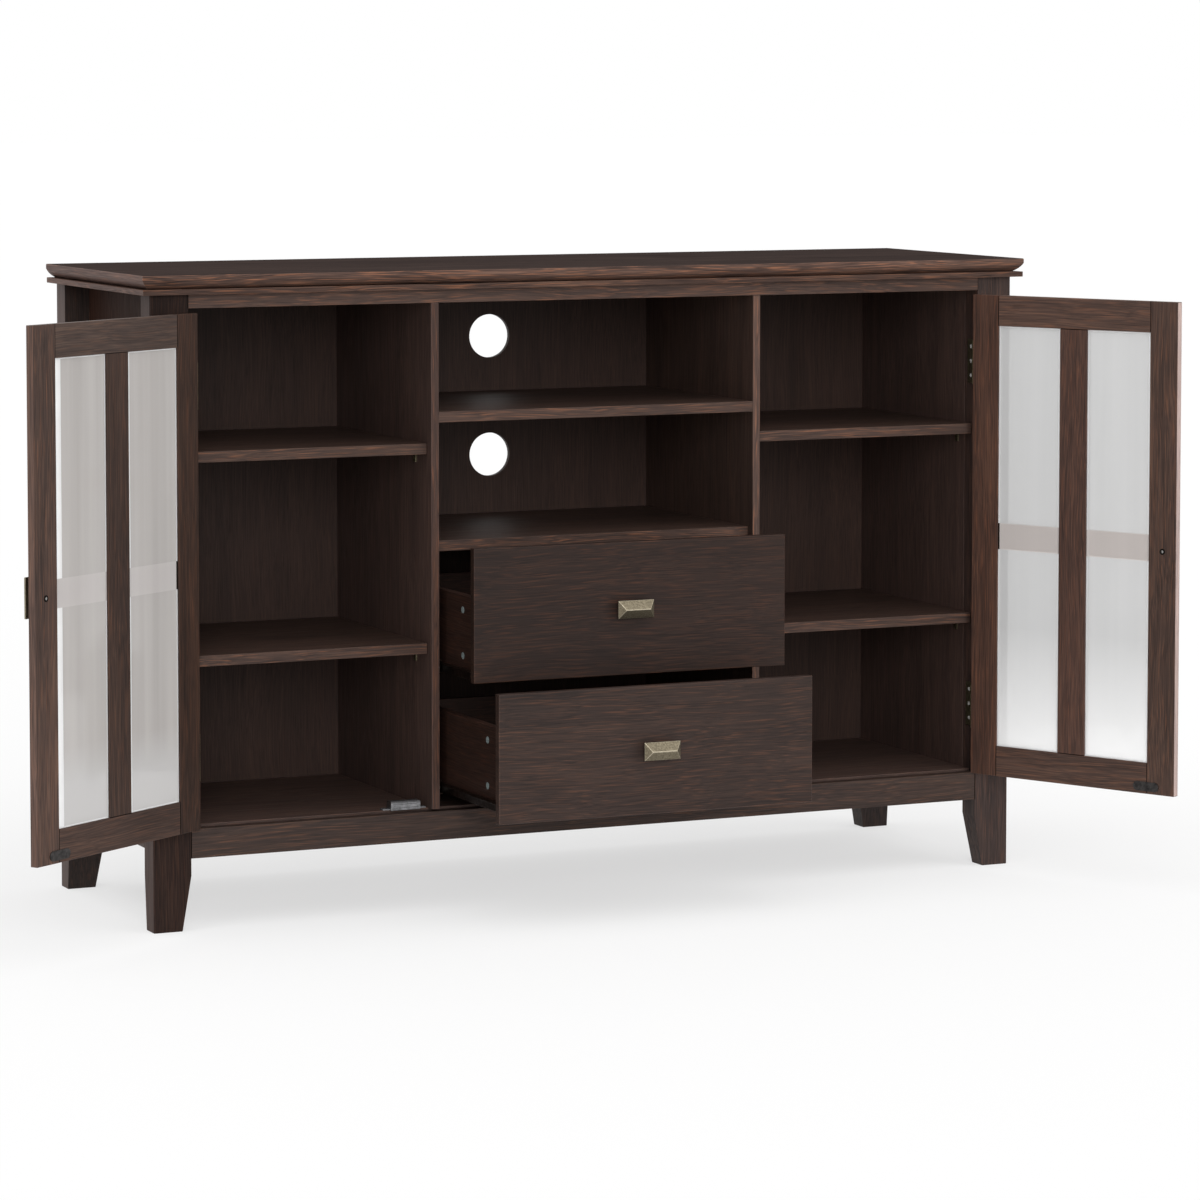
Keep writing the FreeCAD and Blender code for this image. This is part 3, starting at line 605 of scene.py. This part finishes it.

# how light each board is beside the stain's own colours, and its tint: painted light and shade, board by
# board, so that copies of one stain stand lit or shaded; the front left post is darkened as a painted
# shadow of the open left door
boardLightAndShade = {
    "top_slab": {"lift": 1.95, "tint": (0.98, 1.0, 1.02)},
    "sub_top": {"lift": 1.3},
    "front_top_rail": {"lift": 1.48},
    "front_bottom_rail": {"lift": 0.84, "tint": (0.94, 1.01, 1.06)},
    "post_front_left": {"lift": 0.36, "tint": (1.1, 1.05, 1.08), "gloss": 0.45},
    "post_front_right": {"lift": 0.94, "tint": (0.95, 1.0, 1.1)},
    "post_back_left": {"lift": 0.5, "tint": (0.95, 1.0, 1.06)},
    "post_back_right": {"lift": 0.6, "tint": (0.92, 1.0, 1.1)},
    "side_panel_left": {"lift": 0.6, "tint": (1.12, 0.95, 0.9), "gloss": 0.15},
    "divider_left": {"lift": 1.2, "tint": (0.96, 1.0, 1.08)},
    "side_panel_right": {"lift": 1.35, "tint": (0.96, 1.0, 1.08)},
    "back_panel": {"lift": 0.72, "tint": (1.04, 0.98, 0.98)},
    "bottom_panel": {"lift": 1.55, "tint": (0.95, 1.0, 1.06)},
    "left_door_stile_free": {"lift": 1.38, "tint": (0.97, 1.0, 1.02)},
    "left_door_mullion": {"lift": 0.86},
    "left_door_stile_hinge": {"lift": 0.66, "tint": (1.1, 0.98, 0.88)},
    "left_door_rail_top": {"lift": 1.37, "tint": (0.9, 1.02, 1.08)},
    "left_door_rail_bottom": {"lift": 1.13},
    "right_door_stile_hinge": {"lift": 1.24, "tint": (1.12, 0.97, 0.9)},
    "right_door_mullion": {"lift": 1.35, "tint": (1.06, 0.98, 0.98)},
    "right_door_stile_free": {"lift": 1.36},
    "right_door_rail_top": {"lift": 1.77},
    "right_door_rail_bottom": {"lift": 1.5},
    "upper_drawer_front": {"lift": 0.46, "tint": (1.08, 0.97, 0.92)},
    "lower_drawer_front": {"lift": 0.7, "tint": (0.99, 1.01, 1.04)},
    "upper_drawer_sides": {"lift": 0.39, "tint": (1.2, 0.95, 0.86)},
    "lower_drawer_sides": {"lift": 0.39, "tint": (1.2, 0.95, 0.86)},
    "upper_drawer_back": {"lift": 0.5}, "lower_drawer_back": {"lift": 0.5},
}

# faces that are lighter, darker or cut another way than the rest of their board: the lightness by the way a
# face points is painted light, shade and sheen, while the grain turned on a top's ends is real end grain
# share: beside the board's own lightness, over: how squarely a face must look that way
directions = {"top": (0, 0, 1), "left": (-1, 0, 0), "right": (1, 0, 0), "front": (0, -1, 0)}
squarely = 0.7
# the ends of the slab and the sub-top: lighter as painted sheen, with their grain turned as end grain
slabEnd = {"share": 1.28, "grain": "Y", "tint": (0.95, 1.01, 1.1), "contrast": 0.8, "fleck": 0.15,
           "over": 0.2}
subTopEnd = {"share": 2.0, "grain": "Y", "tint": (0.95, 1.01, 1.08), "contrast": 0.8, "fleck": 0.1}
# the posts' outer sides: lighter and bluer as painted sheen
postSide = {"share": 3.8, "contrast": 0.5, "tint": (0.93, 1.0, 1.1), "fleck": 0.05}
zones = {
    # the slab's top is darker as painted shade, and without gloss
    "top_slab": {"top": {"share": 0.75, "tint": (0.81, 1.02, 1.2), "gloss": 0.0, "fleck": 0.05,
                         "contrast": 0.6, "over": 0.9},
                 "left": slabEnd, "right": slabEnd},
    "sub_top": {"left": subTopEnd, "right": subTopEnd},
    "post_front_left": {"left": postSide}, "post_back_left": {"left": postSide},
    "post_front_right": {"right": postSide}, "post_back_right": {"right": postSide},
    # the doors' free edges are lighter as painted light, the right one a pale painted highlight
    "left_door_stile_free": {"right": {"share": 1.6, "fleck": 0.1}},
    "right_door_stile_free": {"left": {"share": 7.5, "fleck": 0.0, "contrast": 0.5,
                                       "tint": (0.95, 1.2, 1.4)}},
    # the dividers' front edges take painted light and shade
    "divider_left": {"front": {"share": 0.86, "tint": (1.05, 0.98, 0.97), "fleck": 0.4}},
    "divider_right": {"front": {"share": 1.9, "fleck": 0.4}},
}
# the shelves' front edges are lighter as painted light
shelfFronts = {"centre_shelf": 1.2, "drawer_deck": 1.3, "left_shelf_lower": 1.1,
               "left_shelf_upper": 0.96, "right_shelf_lower": 1.25, "right_shelf_upper": 1.25}
for name, share in shelfFronts.items():
    zones[name] = {"front": {"share": share, "fleck": 0.5, "contrast": 1.2}}


boardSlot, arrisSlot = 0, 1
up, across = (0, 0, 1), (1, 0, 0)


def giveFinishes(piece, *newFinishes):
    piece.data.materials.clear()
    for finish in newFinishes:
        piece.data.materials.append(finish)


def addFinish(piece, finish):
    piece.data.materials.append(finish)
    return len(piece.data.materials) - 1


def paintFaces(piece, slotIndex, test):
    # gives the faces that pass the test another finish, in edit mode
    mesh = bmesh.from_edit_mesh(piece.data)
    for face in mesh.faces:
        if test(face, face.calc_center_median()):
            face.material_index = slotIndex
    bmesh.update_edit_mesh(piece.data)


def cutAcross(cuts):
    # cuts the whole mesh in edit mode with planes, each a point and a direction
    for point, direction in cuts:
        bpy.ops.mesh.select_all(action="SELECT")
        bpy.ops.mesh.bisect(plane_co=point, plane_no=direction)


def darkenJoints(name, piece, side, finish):
    # the arrises where a door's stiles, rails and mullion meet are seen as dark lines
    stiles, mullion, wide = doorFrame["stiles"], doorFrame["mullion"], doorFrame["jointWidth"]
    rails = (doorFrame["rails"], stand["doorHeight"] - doorFrame["rails"])
    slotIndex = addFinish(piece, finish)
    piece.data.transform(doorMatrix(side).inverted())
    editMesh(piece)
    if "stile" in name:
        cutAcross([(place(0, 0, stand["doorBottom"] + high), up) for high in rails])
    elif "rail" in name:
        cutAcross([(Vector((onShutDoor(side, along), 0, 0)), across) for along in mullion])

    def isJoint(face, middle):
        along = stand["middle"] - abs(middle.x) / mm - stand["doorEdgeX"]
        high = middle.z / mm + stand["height"] - stand["doorBottom"]
        atStile = min(abs(along - line) for line in stiles) < wide and not rails[0] < high < rails[1]
        atMullion = (min(abs(high - line) for line in rails) < wide
                     and mullion[0] - 1 < along < mullion[1] + 1)
        return face.material_index == arrisSlot and (atStile or atMullion)
    paintFaces(piece, slotIndex, isJoint)
    leaveEdit()
    piece.data.transform(doorMatrix(side))


def darkenRailEnds(name, piece, finish):
    # the lines where the front rails meet the posts, on the rail's end and on the post's inner edge
    slotIndex = addFinish(piece, finish)
    heights = [[corner.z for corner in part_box(rail)] for rail in ("front_top_rail", "front_bottom_rail")]
    isPost = name.startswith("post")
    editMesh(piece)
    if isPost:
        cutAcross([((0, 0, height), up) for pair in zip(*heights) for height in pair])

    def isJoint(face, middle):
        inward = face.normal.x * (-1 if middle.x > 0 else 1) * (1 if isPost else -1)
        beside = any(low < middle.z < high for low, high in heights)
        return face.material_index == arrisSlot and beside and inward > 0.3 and face.normal.y < -0.3
    paintFaces(piece, slotIndex, isJoint)
    leaveEdit()


def dressWood(name, piece, index):
    # every board gets its own stretch of grain and an arris that is painted lighter as a painted highlight,
    # or seen as a dark joint
    look = dict(woodLooks[piece["slot"]])
    look.update(boardLightAndShade.get(name, {}))
    # lift: the board's painted light and shade
    lift = look.pop("lift", 1.0)
    shift = (0.37 * index % 3.1, 0.61 * index % 2.3, 0.83 * index % 2.9)
    grain, turn, body = piece["grain"], piece["turn"], piece["body"]
    side = body.split("_")[0] if body.endswith("door") else ""
    twin = tidyCopy(name, name + "_dressed")
    # the second finish is the board's wood made lighter on its rounded arrises, a painted highlight
    giveFinishes(twin, stainedWood(name + "Wood", grain, turn, shift, lift=lift, **look),
                 stainedWood(name + "ArrisHighlight", grain, turn, shift, lift=lift * piece["arris"], **look))
    roundEdges(twin, piece["edge"] * mm, 2, arrisSlot)
    # faces that point one way take the board's wood with their own painted light, shade and sheen, and some
    # a turned grain
    for zone, change in zones.get(name, {}).items():
        extra = {key: value for key, value in change.items() if key not in ("share", "grain", "over")}
        changed = dict(look, lift=lift * change["share"], **extra)
        finish = stainedWood(name + zone.title(), change.get("grain", grain), turn, shift, **changed)
        direction, over = Vector(directions[zone]), change.get("over", squarely)
        if side:
            direction = doorMatrix(side).to_3x3() @ direction
        slotIndex = addFinish(twin, finish)
        editMesh(twin)
        paintFaces(twin, slotIndex, lambda face, middle:
                   face.material_index == boardSlot and face.normal.dot(direction) > over)
        leaveEdit()
    if side and not name.endswith("cross_bars"):
        darkenJoints(name, twin, side, jointLine)
    if name.startswith(("post_front", "front_")):
        darkenRailEnds(name, twin, jointLine)
    smoothByAngle(twin, woodSmooth)
    settle(twin, body, piece["slot"], name)


jointLine = stainedWood("jointLine", lift=0.12, contrast=0.5, gloss=0.2)
for index, (name, piece) in enumerate(woodPieces.items()):
    dressWood(name, piece, index + 1)
print("wood:", len(woodPieces), "boards dressed")


# Pulls: a bar with a hipped roof on a round stem and rose

pull = {
    "length": 54.0, "width": 25.0, "rimBack": 12.3, "rimFront": 14.5, "roof": 8.5,
    "ridgeLength": 37.0, "ridgeWidth": 1.0, "arris": 0.42, "backRim": 1.6, "backHollow": 0.5,
    "stem": [(8.0, 0.0), (8.0, 1.4), (7.4, 2.0), (5.5, 2.1), (5.0, 2.7), (5.0, 12.4)],     # radius, depth
    "stemSides": 28, "bluntest": 12.0, "smooth": 34.0,          # degrees
}


def modelPull():
    # modelled with its foot at zero, standing out along -Y and long along X
    pickNothing()
    bpy.ops.mesh.primitive_cube_add(size=1, location=(0, -(pull["rimBack"] + pull["rimFront"]) / 2 * mm, 0))
    bar = bpy.context.view_layer.objects.active
    rim = pull["rimFront"] - pull["rimBack"]
    bar.data.transform(Matrix.Diagonal((pull["length"] * mm, rim * mm, pull["width"] * mm, 1)))
    bar.data.transform(Matrix.Translation(bar.location))
    bar.location = (0, 0, 0)
    editMesh(bar)
    pickFaces(bar, lambda middle, normal: normal.y < -0.9)
    bpy.ops.mesh.extrude_region_move(TRANSFORM_OT_translate={"value": (0, -pull["roof"] * mm, 0)})
    ridge = (pull["ridgeLength"] / pull["length"], 1, pull["ridgeWidth"] / pull["width"])
    bpy.ops.transform.resize(value=ridge, center_override=(0, -(pull["rimFront"] + pull["roof"]) * mm, 0))
    pickFaces(bar, lambda middle, normal: normal.y > 0.9)
    bpy.ops.mesh.inset(thickness=pull["backRim"] * mm)
    bpy.ops.transform.translate(value=(0, -pull["backHollow"] * mm, 0))
    leaveEdit()
    giveFinishes(bar, finishes["pullBrass"], finishes["pullBrassEdge"])
    roundEdges(bar, pull["arris"] * mm, 2, arrisSlot, pull["bluntest"])
    bpy.ops.object.select_all(action="DESELECT")
    radius, depth = pull["stem"][0]
    bpy.ops.mesh.primitive_circle_add(vertices=pull["stemSides"], radius=radius * mm, fill_type="NGON",
                                      rotation=(math.radians(90), 0, 0))
    stem = bpy.context.view_layer.objects.active
    bpy.ops.object.transform_apply(location=True, rotation=True, scale=True)
    editMesh(stem)
    bpy.ops.mesh.select_all(action="SELECT")
    for nextRadius, nextDepth in pull["stem"][1:]:
        step = (0, -(nextDepth - depth) * mm, 0)
        bpy.ops.mesh.extrude_region_move(TRANSFORM_OT_translate={"value": step})
        share = nextRadius / radius
        bpy.ops.transform.resize(value=(share, 1, share), center_override=(0, -nextDepth * mm, 0))
        radius, depth = nextRadius, nextDepth
    leaveEdit()
    giveFinishes(stem, finishes["pullBrass"], finishes["pullBrassEdge"])
    fixNormals(stem)
    whole = joinPieces([bar, stem], "pullMaster")
    smoothByAngle(whole, pull["smooth"])
    return whole


pullMaster = modelPull()


def placePulls():
    upright = Matrix.Rotation(math.radians(-90), 4, "Y")
    for side in ("left", "right"):
        high = stand["doorBottom"] + stand["pullHigh"]
        spot = place(alongDoor(side, stand["pullAlong"]), stand["frontY"], high)
        turned = doorMatrix(side) @ Matrix.Translation(spot) @ upright
        piece = copyAt(pullMaster, side + "_door_pull", turned)
        settle(piece, side + "_door", "pull_brass", side + "_door_handle")
    for level in ("upper", "lower"):
        low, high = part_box(level + "_drawer_handle")
        spot = Vector(((low.x + high.x) / 2, high.y, (low.z + high.z) / 2))
        piece = copyAt(pullMaster, level + "_drawer_pull", Matrix.Translation(spot))
        settle(piece, level + "_drawer", "pull_brass", level + "_drawer_handle")
    bpy.data.objects.remove(pullMaster)


placePulls()
print("pulls: four")


# Screws and cam fittings

# rim, dome and recess are shares of a head's radius and height, crossWidth and taper scale its cross
screw = {"sides": 16, "rim": 0.22, "dome": 0.25, "recess": 0.45, "crossWidth": 0.42, "taper": 0.8,
         "smooth": 40.0}
# the heads on leaves and strikes stand 0.15 mm out, less than half the gap that a shut door leaves
screwKinds = {
    "leafScrew": {"radius": 2.9, "height": 0.12, "cross": 0.6, "finish": "screwNickel"},
    "darkScrew": {"radius": 2.6, "height": 0.12, "cross": 0.55, "finish": "strikeSteel"},
    # a black disc round the pull's screw, painted shade for the hole that the screw sits in
    "handleHoleShade": {"radius": 4.4, "height": 0.4, "cross": 0.6, "finish": "paintedShadeBlack"},
    "handleScrew": {"radius": 1.9, "height": 1.0, "cross": 0.6, "finish": "screwSteel"},
    "camHead": {"radius": 4.8, "height": 0.4, "cross": 0.5, "finish": "camZinc"},
}
hinge = {
    "lows": (205.85, 707.35), "height": 63.5, "screwSteps": (-21.0, 0.0, 21.0),
    "postFace": 69.5, "postScrewDepth": 31.5,       # from the stand's left side and its front
    "doorFace": -1.0, "doorScrewDepth": 5.2,        # from the door's hinge edge and its front face
}
doorScrews = {"backFace": 11.0, "strikeAlong": 302.0, "strikeFace": 12.0, "strikeHigh": 10.5,
              "strikeSteps": (-14.5, 14.5)}
cams = {"fromMiddle": 228.3, "depth": 72.0, "heights": {"upper": (423.7, 360.5), "lower": (255.6, 192.9)}}


def modelScrew(name, radius, height, cross, finish):
    # a low domed head along +Z, with a cross recess sunk into it
    pickNothing()
    bpy.ops.mesh.primitive_cylinder_add(vertices=screw["sides"], radius=radius * mm, depth=height * mm,
                                        location=(0, 0, 0))
    head = bpy.context.view_layer.objects.active
    head.data.transform(Matrix.Translation((0, 0, height / 2 * mm)))
    editMesh(head)
    pickFaces(head, lambda middle, normal: normal.z > 0.9)
    bpy.ops.mesh.inset(thickness=radius * screw["rim"] * mm)
    bpy.ops.transform.translate(value=(0, 0, height * screw["dome"] * mm))
    bpy.ops.mesh.inset(thickness=radius * (1 - screw["rim"] - cross) * mm)
    top = height * (1 + screw["dome"]) * mm

    def isDiagonal(point):
        if point.z < top * 0.98 or math.hypot(point.x, point.y) > radius * (cross + 0.05) * mm:
            return False
        quarter = math.degrees(math.atan2(point.y, point.x)) % 90
        return 20 < quarter < 70
    pickPoints(head, isDiagonal)
    narrow, taper = screw["crossWidth"], screw["taper"]
    bpy.ops.transform.resize(value=(narrow, narrow, 1), center_override=(0, 0, top))
    pickFaces(head, lambda middle, normal: normal.z > 0.9 and math.hypot(middle.x, middle.y) < 0.1 * mm)
    sink = (0, 0, -screw["recess"] * height * mm)
    bpy.ops.mesh.extrude_region_move(TRANSFORM_OT_translate={"value": sink})
    bpy.ops.transform.resize(value=(taper, taper, 1), center_override=(0, 0, 0))
    pickFaces(head, lambda middle, normal: normal.z < -0.9)
    bpy.ops.mesh.delete(type="FACE")
    leaveEdit()
    giveFinishes(head, finishes[finish])
    head.name = name
    smoothByAngle(head, screw["smooth"])
    return head


def facing(normal, origin):
    # puts a screw's +Z along a direction
    quaternion = Vector((0, 0, 1)).rotation_difference(Vector(normal))
    return Matrix.Translation(origin) @ quaternion.to_matrix().to_4x4()


def scatter(kind, name, matrices, body, slotName):
    # a screw at each place, joined as one piece
    master = screwMasters[kind]
    heads = [copyAt(master, name + str(index), matrix) for index, matrix in enumerate(matrices)]
    settle(joinPieces(heads, name), body, slotName)


screwMasters = {kind: modelScrew(kind + "Master", **look) for kind, look in screwKinds.items()}


def placeScrews():
    middles = [low + hinge["height"] / 2 for low in hinge["lows"]]
    hingeHighs = [middle + step for middle in middles for step in hinge["screwSteps"]]
    leafHeads = []
    for sign in (-1, 1):
        x = stand["middle"] + sign * (stand["middle"] - hinge["postFace"])
        for high in hingeHighs:
            leafHeads.append(facing((-sign, 0, 0), place(x, hinge["postScrewDepth"], high)))
    scatter("leafScrew", "hinge_leaf_screws", leafHeads, "carcass", "hinge_bronze")
    for side in ("left", "right"):
        body = side + "_door"
        turn = doorMatrix(side).to_3x3()
        inward = turn @ Vector((0, 1, 0))
        outward = turn @ Vector((-1 if side == "left" else 1, 0, 0))
        spot = onDoor(side, stand["pullAlong"], doorScrews["backFace"], stand["pullHigh"])
        heads = [facing(inward, spot)]
        scatter("handleScrew", body + "_pull_screw", heads, body, "strike_steel")
        # the black disc under the pull screw is painted shade in its hole
        scatter("handleHoleShade", body + "_pull_hole_shade", heads, body, "strike_steel")
        heads = []
        for step in doorScrews["strikeSteps"]:
            along = doorScrews["strikeAlong"] + step
            spot = onDoor(side, along, doorScrews["strikeFace"], doorScrews["strikeHigh"])
            heads.append(facing(inward, spot))
        scatter("darkScrew", side + "_strike_screws", heads, body, "strike_steel")
        heads = []
        for high in hingeHighs:
            spot = onDoor(side, hinge["doorFace"], hinge["doorScrewDepth"], high - stand["doorBottom"])
            heads.append(facing(outward, spot))
        scatter("darkScrew", body + "_leaf_screws", heads, body, "hinge_bronze")
    for level, highs in cams["heights"].items():
        heads = []
        for sign in (-1, 1):
            for high in highs:
                x = stand["middle"] + sign * cams["fromMiddle"]
                y = cams["depth"] - stand["pulledOut"][level]
                heads.append(facing((sign, 0, 0), place(x, y, high)))
        scatter("camHead", level + "_drawer_cams", heads, level + "_drawer", "runner_steel")


placeScrews()
for master in screwMasters.values():
    bpy.data.objects.remove(master)
print("screws: hinges, strikes, pulls and drawer cams")


# Door glass in the frames' grooves: a pale film that stops short of the wood and stands in for reflections,
# and polished edges painted near white as a painted highlight

glazing = {
    "polish": 0.7, "inGroove": 5.5, "filmGap": 1.8,
    "freeGap": {"left": 5.6, "right": 3.8},     # beside the stile or mullion on the free side
    "wideGap": 14.0,           # beside the left door's free stile
    "bar": (330.3, 368.3),     # the cross bar's edges, from the door's foot
    "barEndShade": 4.0,             # how near the wood the border shows the bar's end as painted shade
}
filmSlot, borderSlot, paintedShadeSlot, barFilmSlot = 0, 1, 2, 3
openings = tuple(zip((doorFrame["stiles"][0], doorFrame["mullion"][1]),
                     (doorFrame["mullion"][0], doorFrame["stiles"][1])))


def placeGlass():
    for side in ("left", "right"):
        panes = tidyCopy(side + "_door_glass_panes", side + "_door_panes")
        panes.data.transform(doorMatrix(side).inverted())
        giveFinishes(panes, finishes[side + "FilmAndPaintedReflection"], finishes["glassBorderPaintedHighlight"],
                     finishes["paintedShadeBlack"], finishes[side + "FilmOverBar"])
        roundEdges(panes, glazing["polish"] * mm, 1)
        editMesh(panes)
        pickFaces(panes, lambda middle, normal: abs(normal.y) > 0.99)
        border = glazing["inGroove"] - glazing["polish"] + glazing["filmGap"]
        bpy.ops.mesh.inset(thickness=border * mm)
        paintFaces(panes, borderSlot, lambda face, middle: not face.select)
        paintFaces(panes, filmSlot, lambda face, middle: face.select)
        sign = 1 if side == "left" else -1
        for number, (low, high) in enumerate(openings):
            edge = onShutDoor(side, high - glazing["filmGap"])
            gap = glazing["wideGap"] if side == "left" and number == 1 else glazing["freeGap"][side]
            pickPoints(panes, lambda point: abs(point.x - edge) < 0.3 * mm)
            bpy.ops.transform.translate(value=(sign * (glazing["filmGap"] - gap) * mm, 0, 0))
        barEdges = [place(0, 0, stand["doorBottom"] + high).z for high in glazing["bar"]]
        cutAcross([((0, 0, height), up) for height in barEdges])
        markBars(panes, side, *barEdges)
        leaveEdit()
        panes.data.transform(doorMatrix(side))
        settle(panes, side + "_door", "door_glass", side + "_door_glass_panes")
        panes.visible_shadow = False


def markBars(panes, side, lowest, highest):
    # the film looks warmer over a cross bar, and a near-black patch past it at the hinge stile is painted
    # shade for the bar's end
    stileEdge = onShutDoor(side, openings[0][0])

    def isBarEndShade(face, middle):
        atStile = abs(middle.x - stileEdge) < glazing["barEndShade"] * mm
        return lowest < middle.z < highest and atStile and face.material_index == borderSlot
    paintFaces(panes, paintedShadeSlot, isBarEndShade)
    paintFaces(panes, barFilmSlot, lambda face, middle:
               lowest < middle.z < highest and face.material_index != paintedShadeSlot)


placeGlass()
print("glass: four panes and their film")


# Hardware that keeps its own nodes, with better finishes

hardware = {
    "hingeBronze": ("hinge_post_leaves", "hinge_pins", "left_door_hinge_leaves",
                    "right_door_hinge_leaves", "shelf_brackets"),
    "strikeSteel": ("left_door_strike_plate", "right_door_strike_plate"),
    "catchGrey": ("magnetic_catches",),
}
runner = {
    "bodies": {"cabinet_runners": "carcass", "upper_drawer_runners": "upper_drawer",
               "lower_drawer_runners": "lower_drawer"},
    "longestRoller": 15.0, "edge": 0.25, "smooth": 30.0,
}
for finish, names in hardware.items():
    for name in names:
        nodes[name].material_slots[0].material = finishes[finish]


def dressRunners():
    # enamelled sections, and a nylon tyre for every loose island as small as a roller
    for name, body in runner["bodies"].items():
        twin = tidyCopy(name, name + "_dressed")
        giveFinishes(twin, finishes["runnerEnamel"], finishes["rollerNylon"])
        mesh = bmesh.new()
        mesh.from_mesh(twin.data)
        seen = set()
        for seed in mesh.faces:
            if seed in seen:
                continue
            island, queue = [], [seed]
            seen.add(seed)
            while queue:
                face = queue.pop()
                island.append(face)
                for edge in face.edges:
                    for other in edge.link_faces:
                        if other not in seen:
                            seen.add(other)
                            queue.append(other)
            lengths = [point.co.y for face in island for point in face.verts]
            if max(lengths) - min(lengths) < runner["longestRoller"] * mm:
                for face in island:
                    face.material_index = 1
        mesh.to_mesh(twin.data)
        mesh.free()
        roundEdges(twin, runner["edge"] * mm, 1)
        smoothByAngle(twin, runner["smooth"])
        settle(twin, body, "runner_steel", name)


dressRunners()
print("hardware: finishes on hinges, strikes, catches, brackets and runners")


# Floor, light and camera

studio = {
    "floorSize": 120.0, "floorColour": (0.96, 0.96, 0.96), "floorRoughness": 0.9,
    "floorGlow": 0.6,         # the part of the floor's white that no shadow reaches
    "world": 0.6,
    "front": {"strength": 1.3, "spread": 25.0, "from": (-1.0, -3.2, 0.75)},
    "side": {"strength": 0.5, "spread": 50.0, "from": (2.4, -2.2, 1.6)},
    "above": {"strength": 1.0, "spread": 70.0, "from": (-0.6, -1.0, 3.0)},
    "camera": (-2.66815, -6.02020, 0.28079), "seesTo": 200.0, "sensor": 36.0,
    "pitch": 85.878, "heading": -24.630, "lens": 138.045, "shiftY": -0.17,
}


def seenPart(sketch):
    # one where the camera sees a thing, itself, through glass or in a reflection
    path = sketch.add("ShaderNodeLightPath")
    seen = sketch.sums("MAXIMUM", path.outputs["Is Camera Ray"], path.outputs["Is Transmission Ray"])
    return sketch.sums("MAXIMUM", seen, path.outputs["Is Glossy Ray"])


def layFloor():
    pickNothing()
    bpy.ops.mesh.primitive_plane_add(size=studio["floorSize"], location=(0, 0, -stand["height"] * mm))
    floor = bpy.context.view_layer.objects.active
    floor.name = "studio_floor"
    sketch = Sketch("studioFloor")
    sketch.set(Base_Color=studio["floorColour"], Roughness=studio["floorRoughness"],
               Specular_IOR_Level=0.0)
    output = sketch.tree.nodes["Material Output"]
    white = sketch.add("ShaderNodeEmission")
    both = sketch.add("ShaderNodeMixShader")
    sketch.link(sketch.sums("MULTIPLY", seenPart(sketch), studio["floorGlow"]), both.inputs["Fac"])
    sketch.link(sketch.shader.outputs["BSDF"], both.inputs[1])
    sketch.link(white.outputs["Emission"], both.inputs[2])
    sketch.link(both.outputs["Shader"], output.inputs["Surface"])
    floor.data.materials.append(sketch.owner)


def lightWorld():
    # white where it is seen, and dimmer for the light that it gives
    sketch = Sketch("studioWorld", isWorld=True)
    sketch.set(Color=(1, 1, 1))
    level = sketch.between(seenPart(sketch), 0.0, 1.0, studio["world"], 1.0)
    sketch.link(level, sketch.shader.inputs["Strength"])
    scene.world = sketch.owner


def addSun(name, look):
    # a wide, soft lamp that lights the floor evenly as far as it goes
    lamp = bpy.data.lights.new(name, "SUN")
    lamp.energy = look["strength"]
    lamp.angle = math.radians(look["spread"])
    holder = bpy.data.objects.new(name, lamp)
    holder.location = look["from"]
    holder.rotation_euler = (-Vector(look["from"])).to_track_quat("-Z", "Y").to_euler()
    scene.collection.objects.link(holder)


def setCamera():
    camera = bpy.data.cameras.new("photoCamera")
    camera.sensor_width = studio["sensor"]
    camera.lens = studio["lens"]
    camera.shift_y = studio["shiftY"]
    camera.clip_end = studio["seesTo"]
    holder = bpy.data.objects.new("photoCamera", camera)
    holder.location = studio["camera"]
    holder.rotation_euler = (math.radians(studio["pitch"]), 0, math.radians(studio["heading"]))
    scene.collection.objects.link(holder)
    scene.camera = holder


layFloor()
lightWorld()
addSun("frontLamp", studio["front"])
addSun("sideLamp", studio["side"])
addSun("aboveLamp", studio["above"])
setCamera()
scene.view_settings.view_transform = "Standard"
print("studio: floor, world, three lamps and the camera")
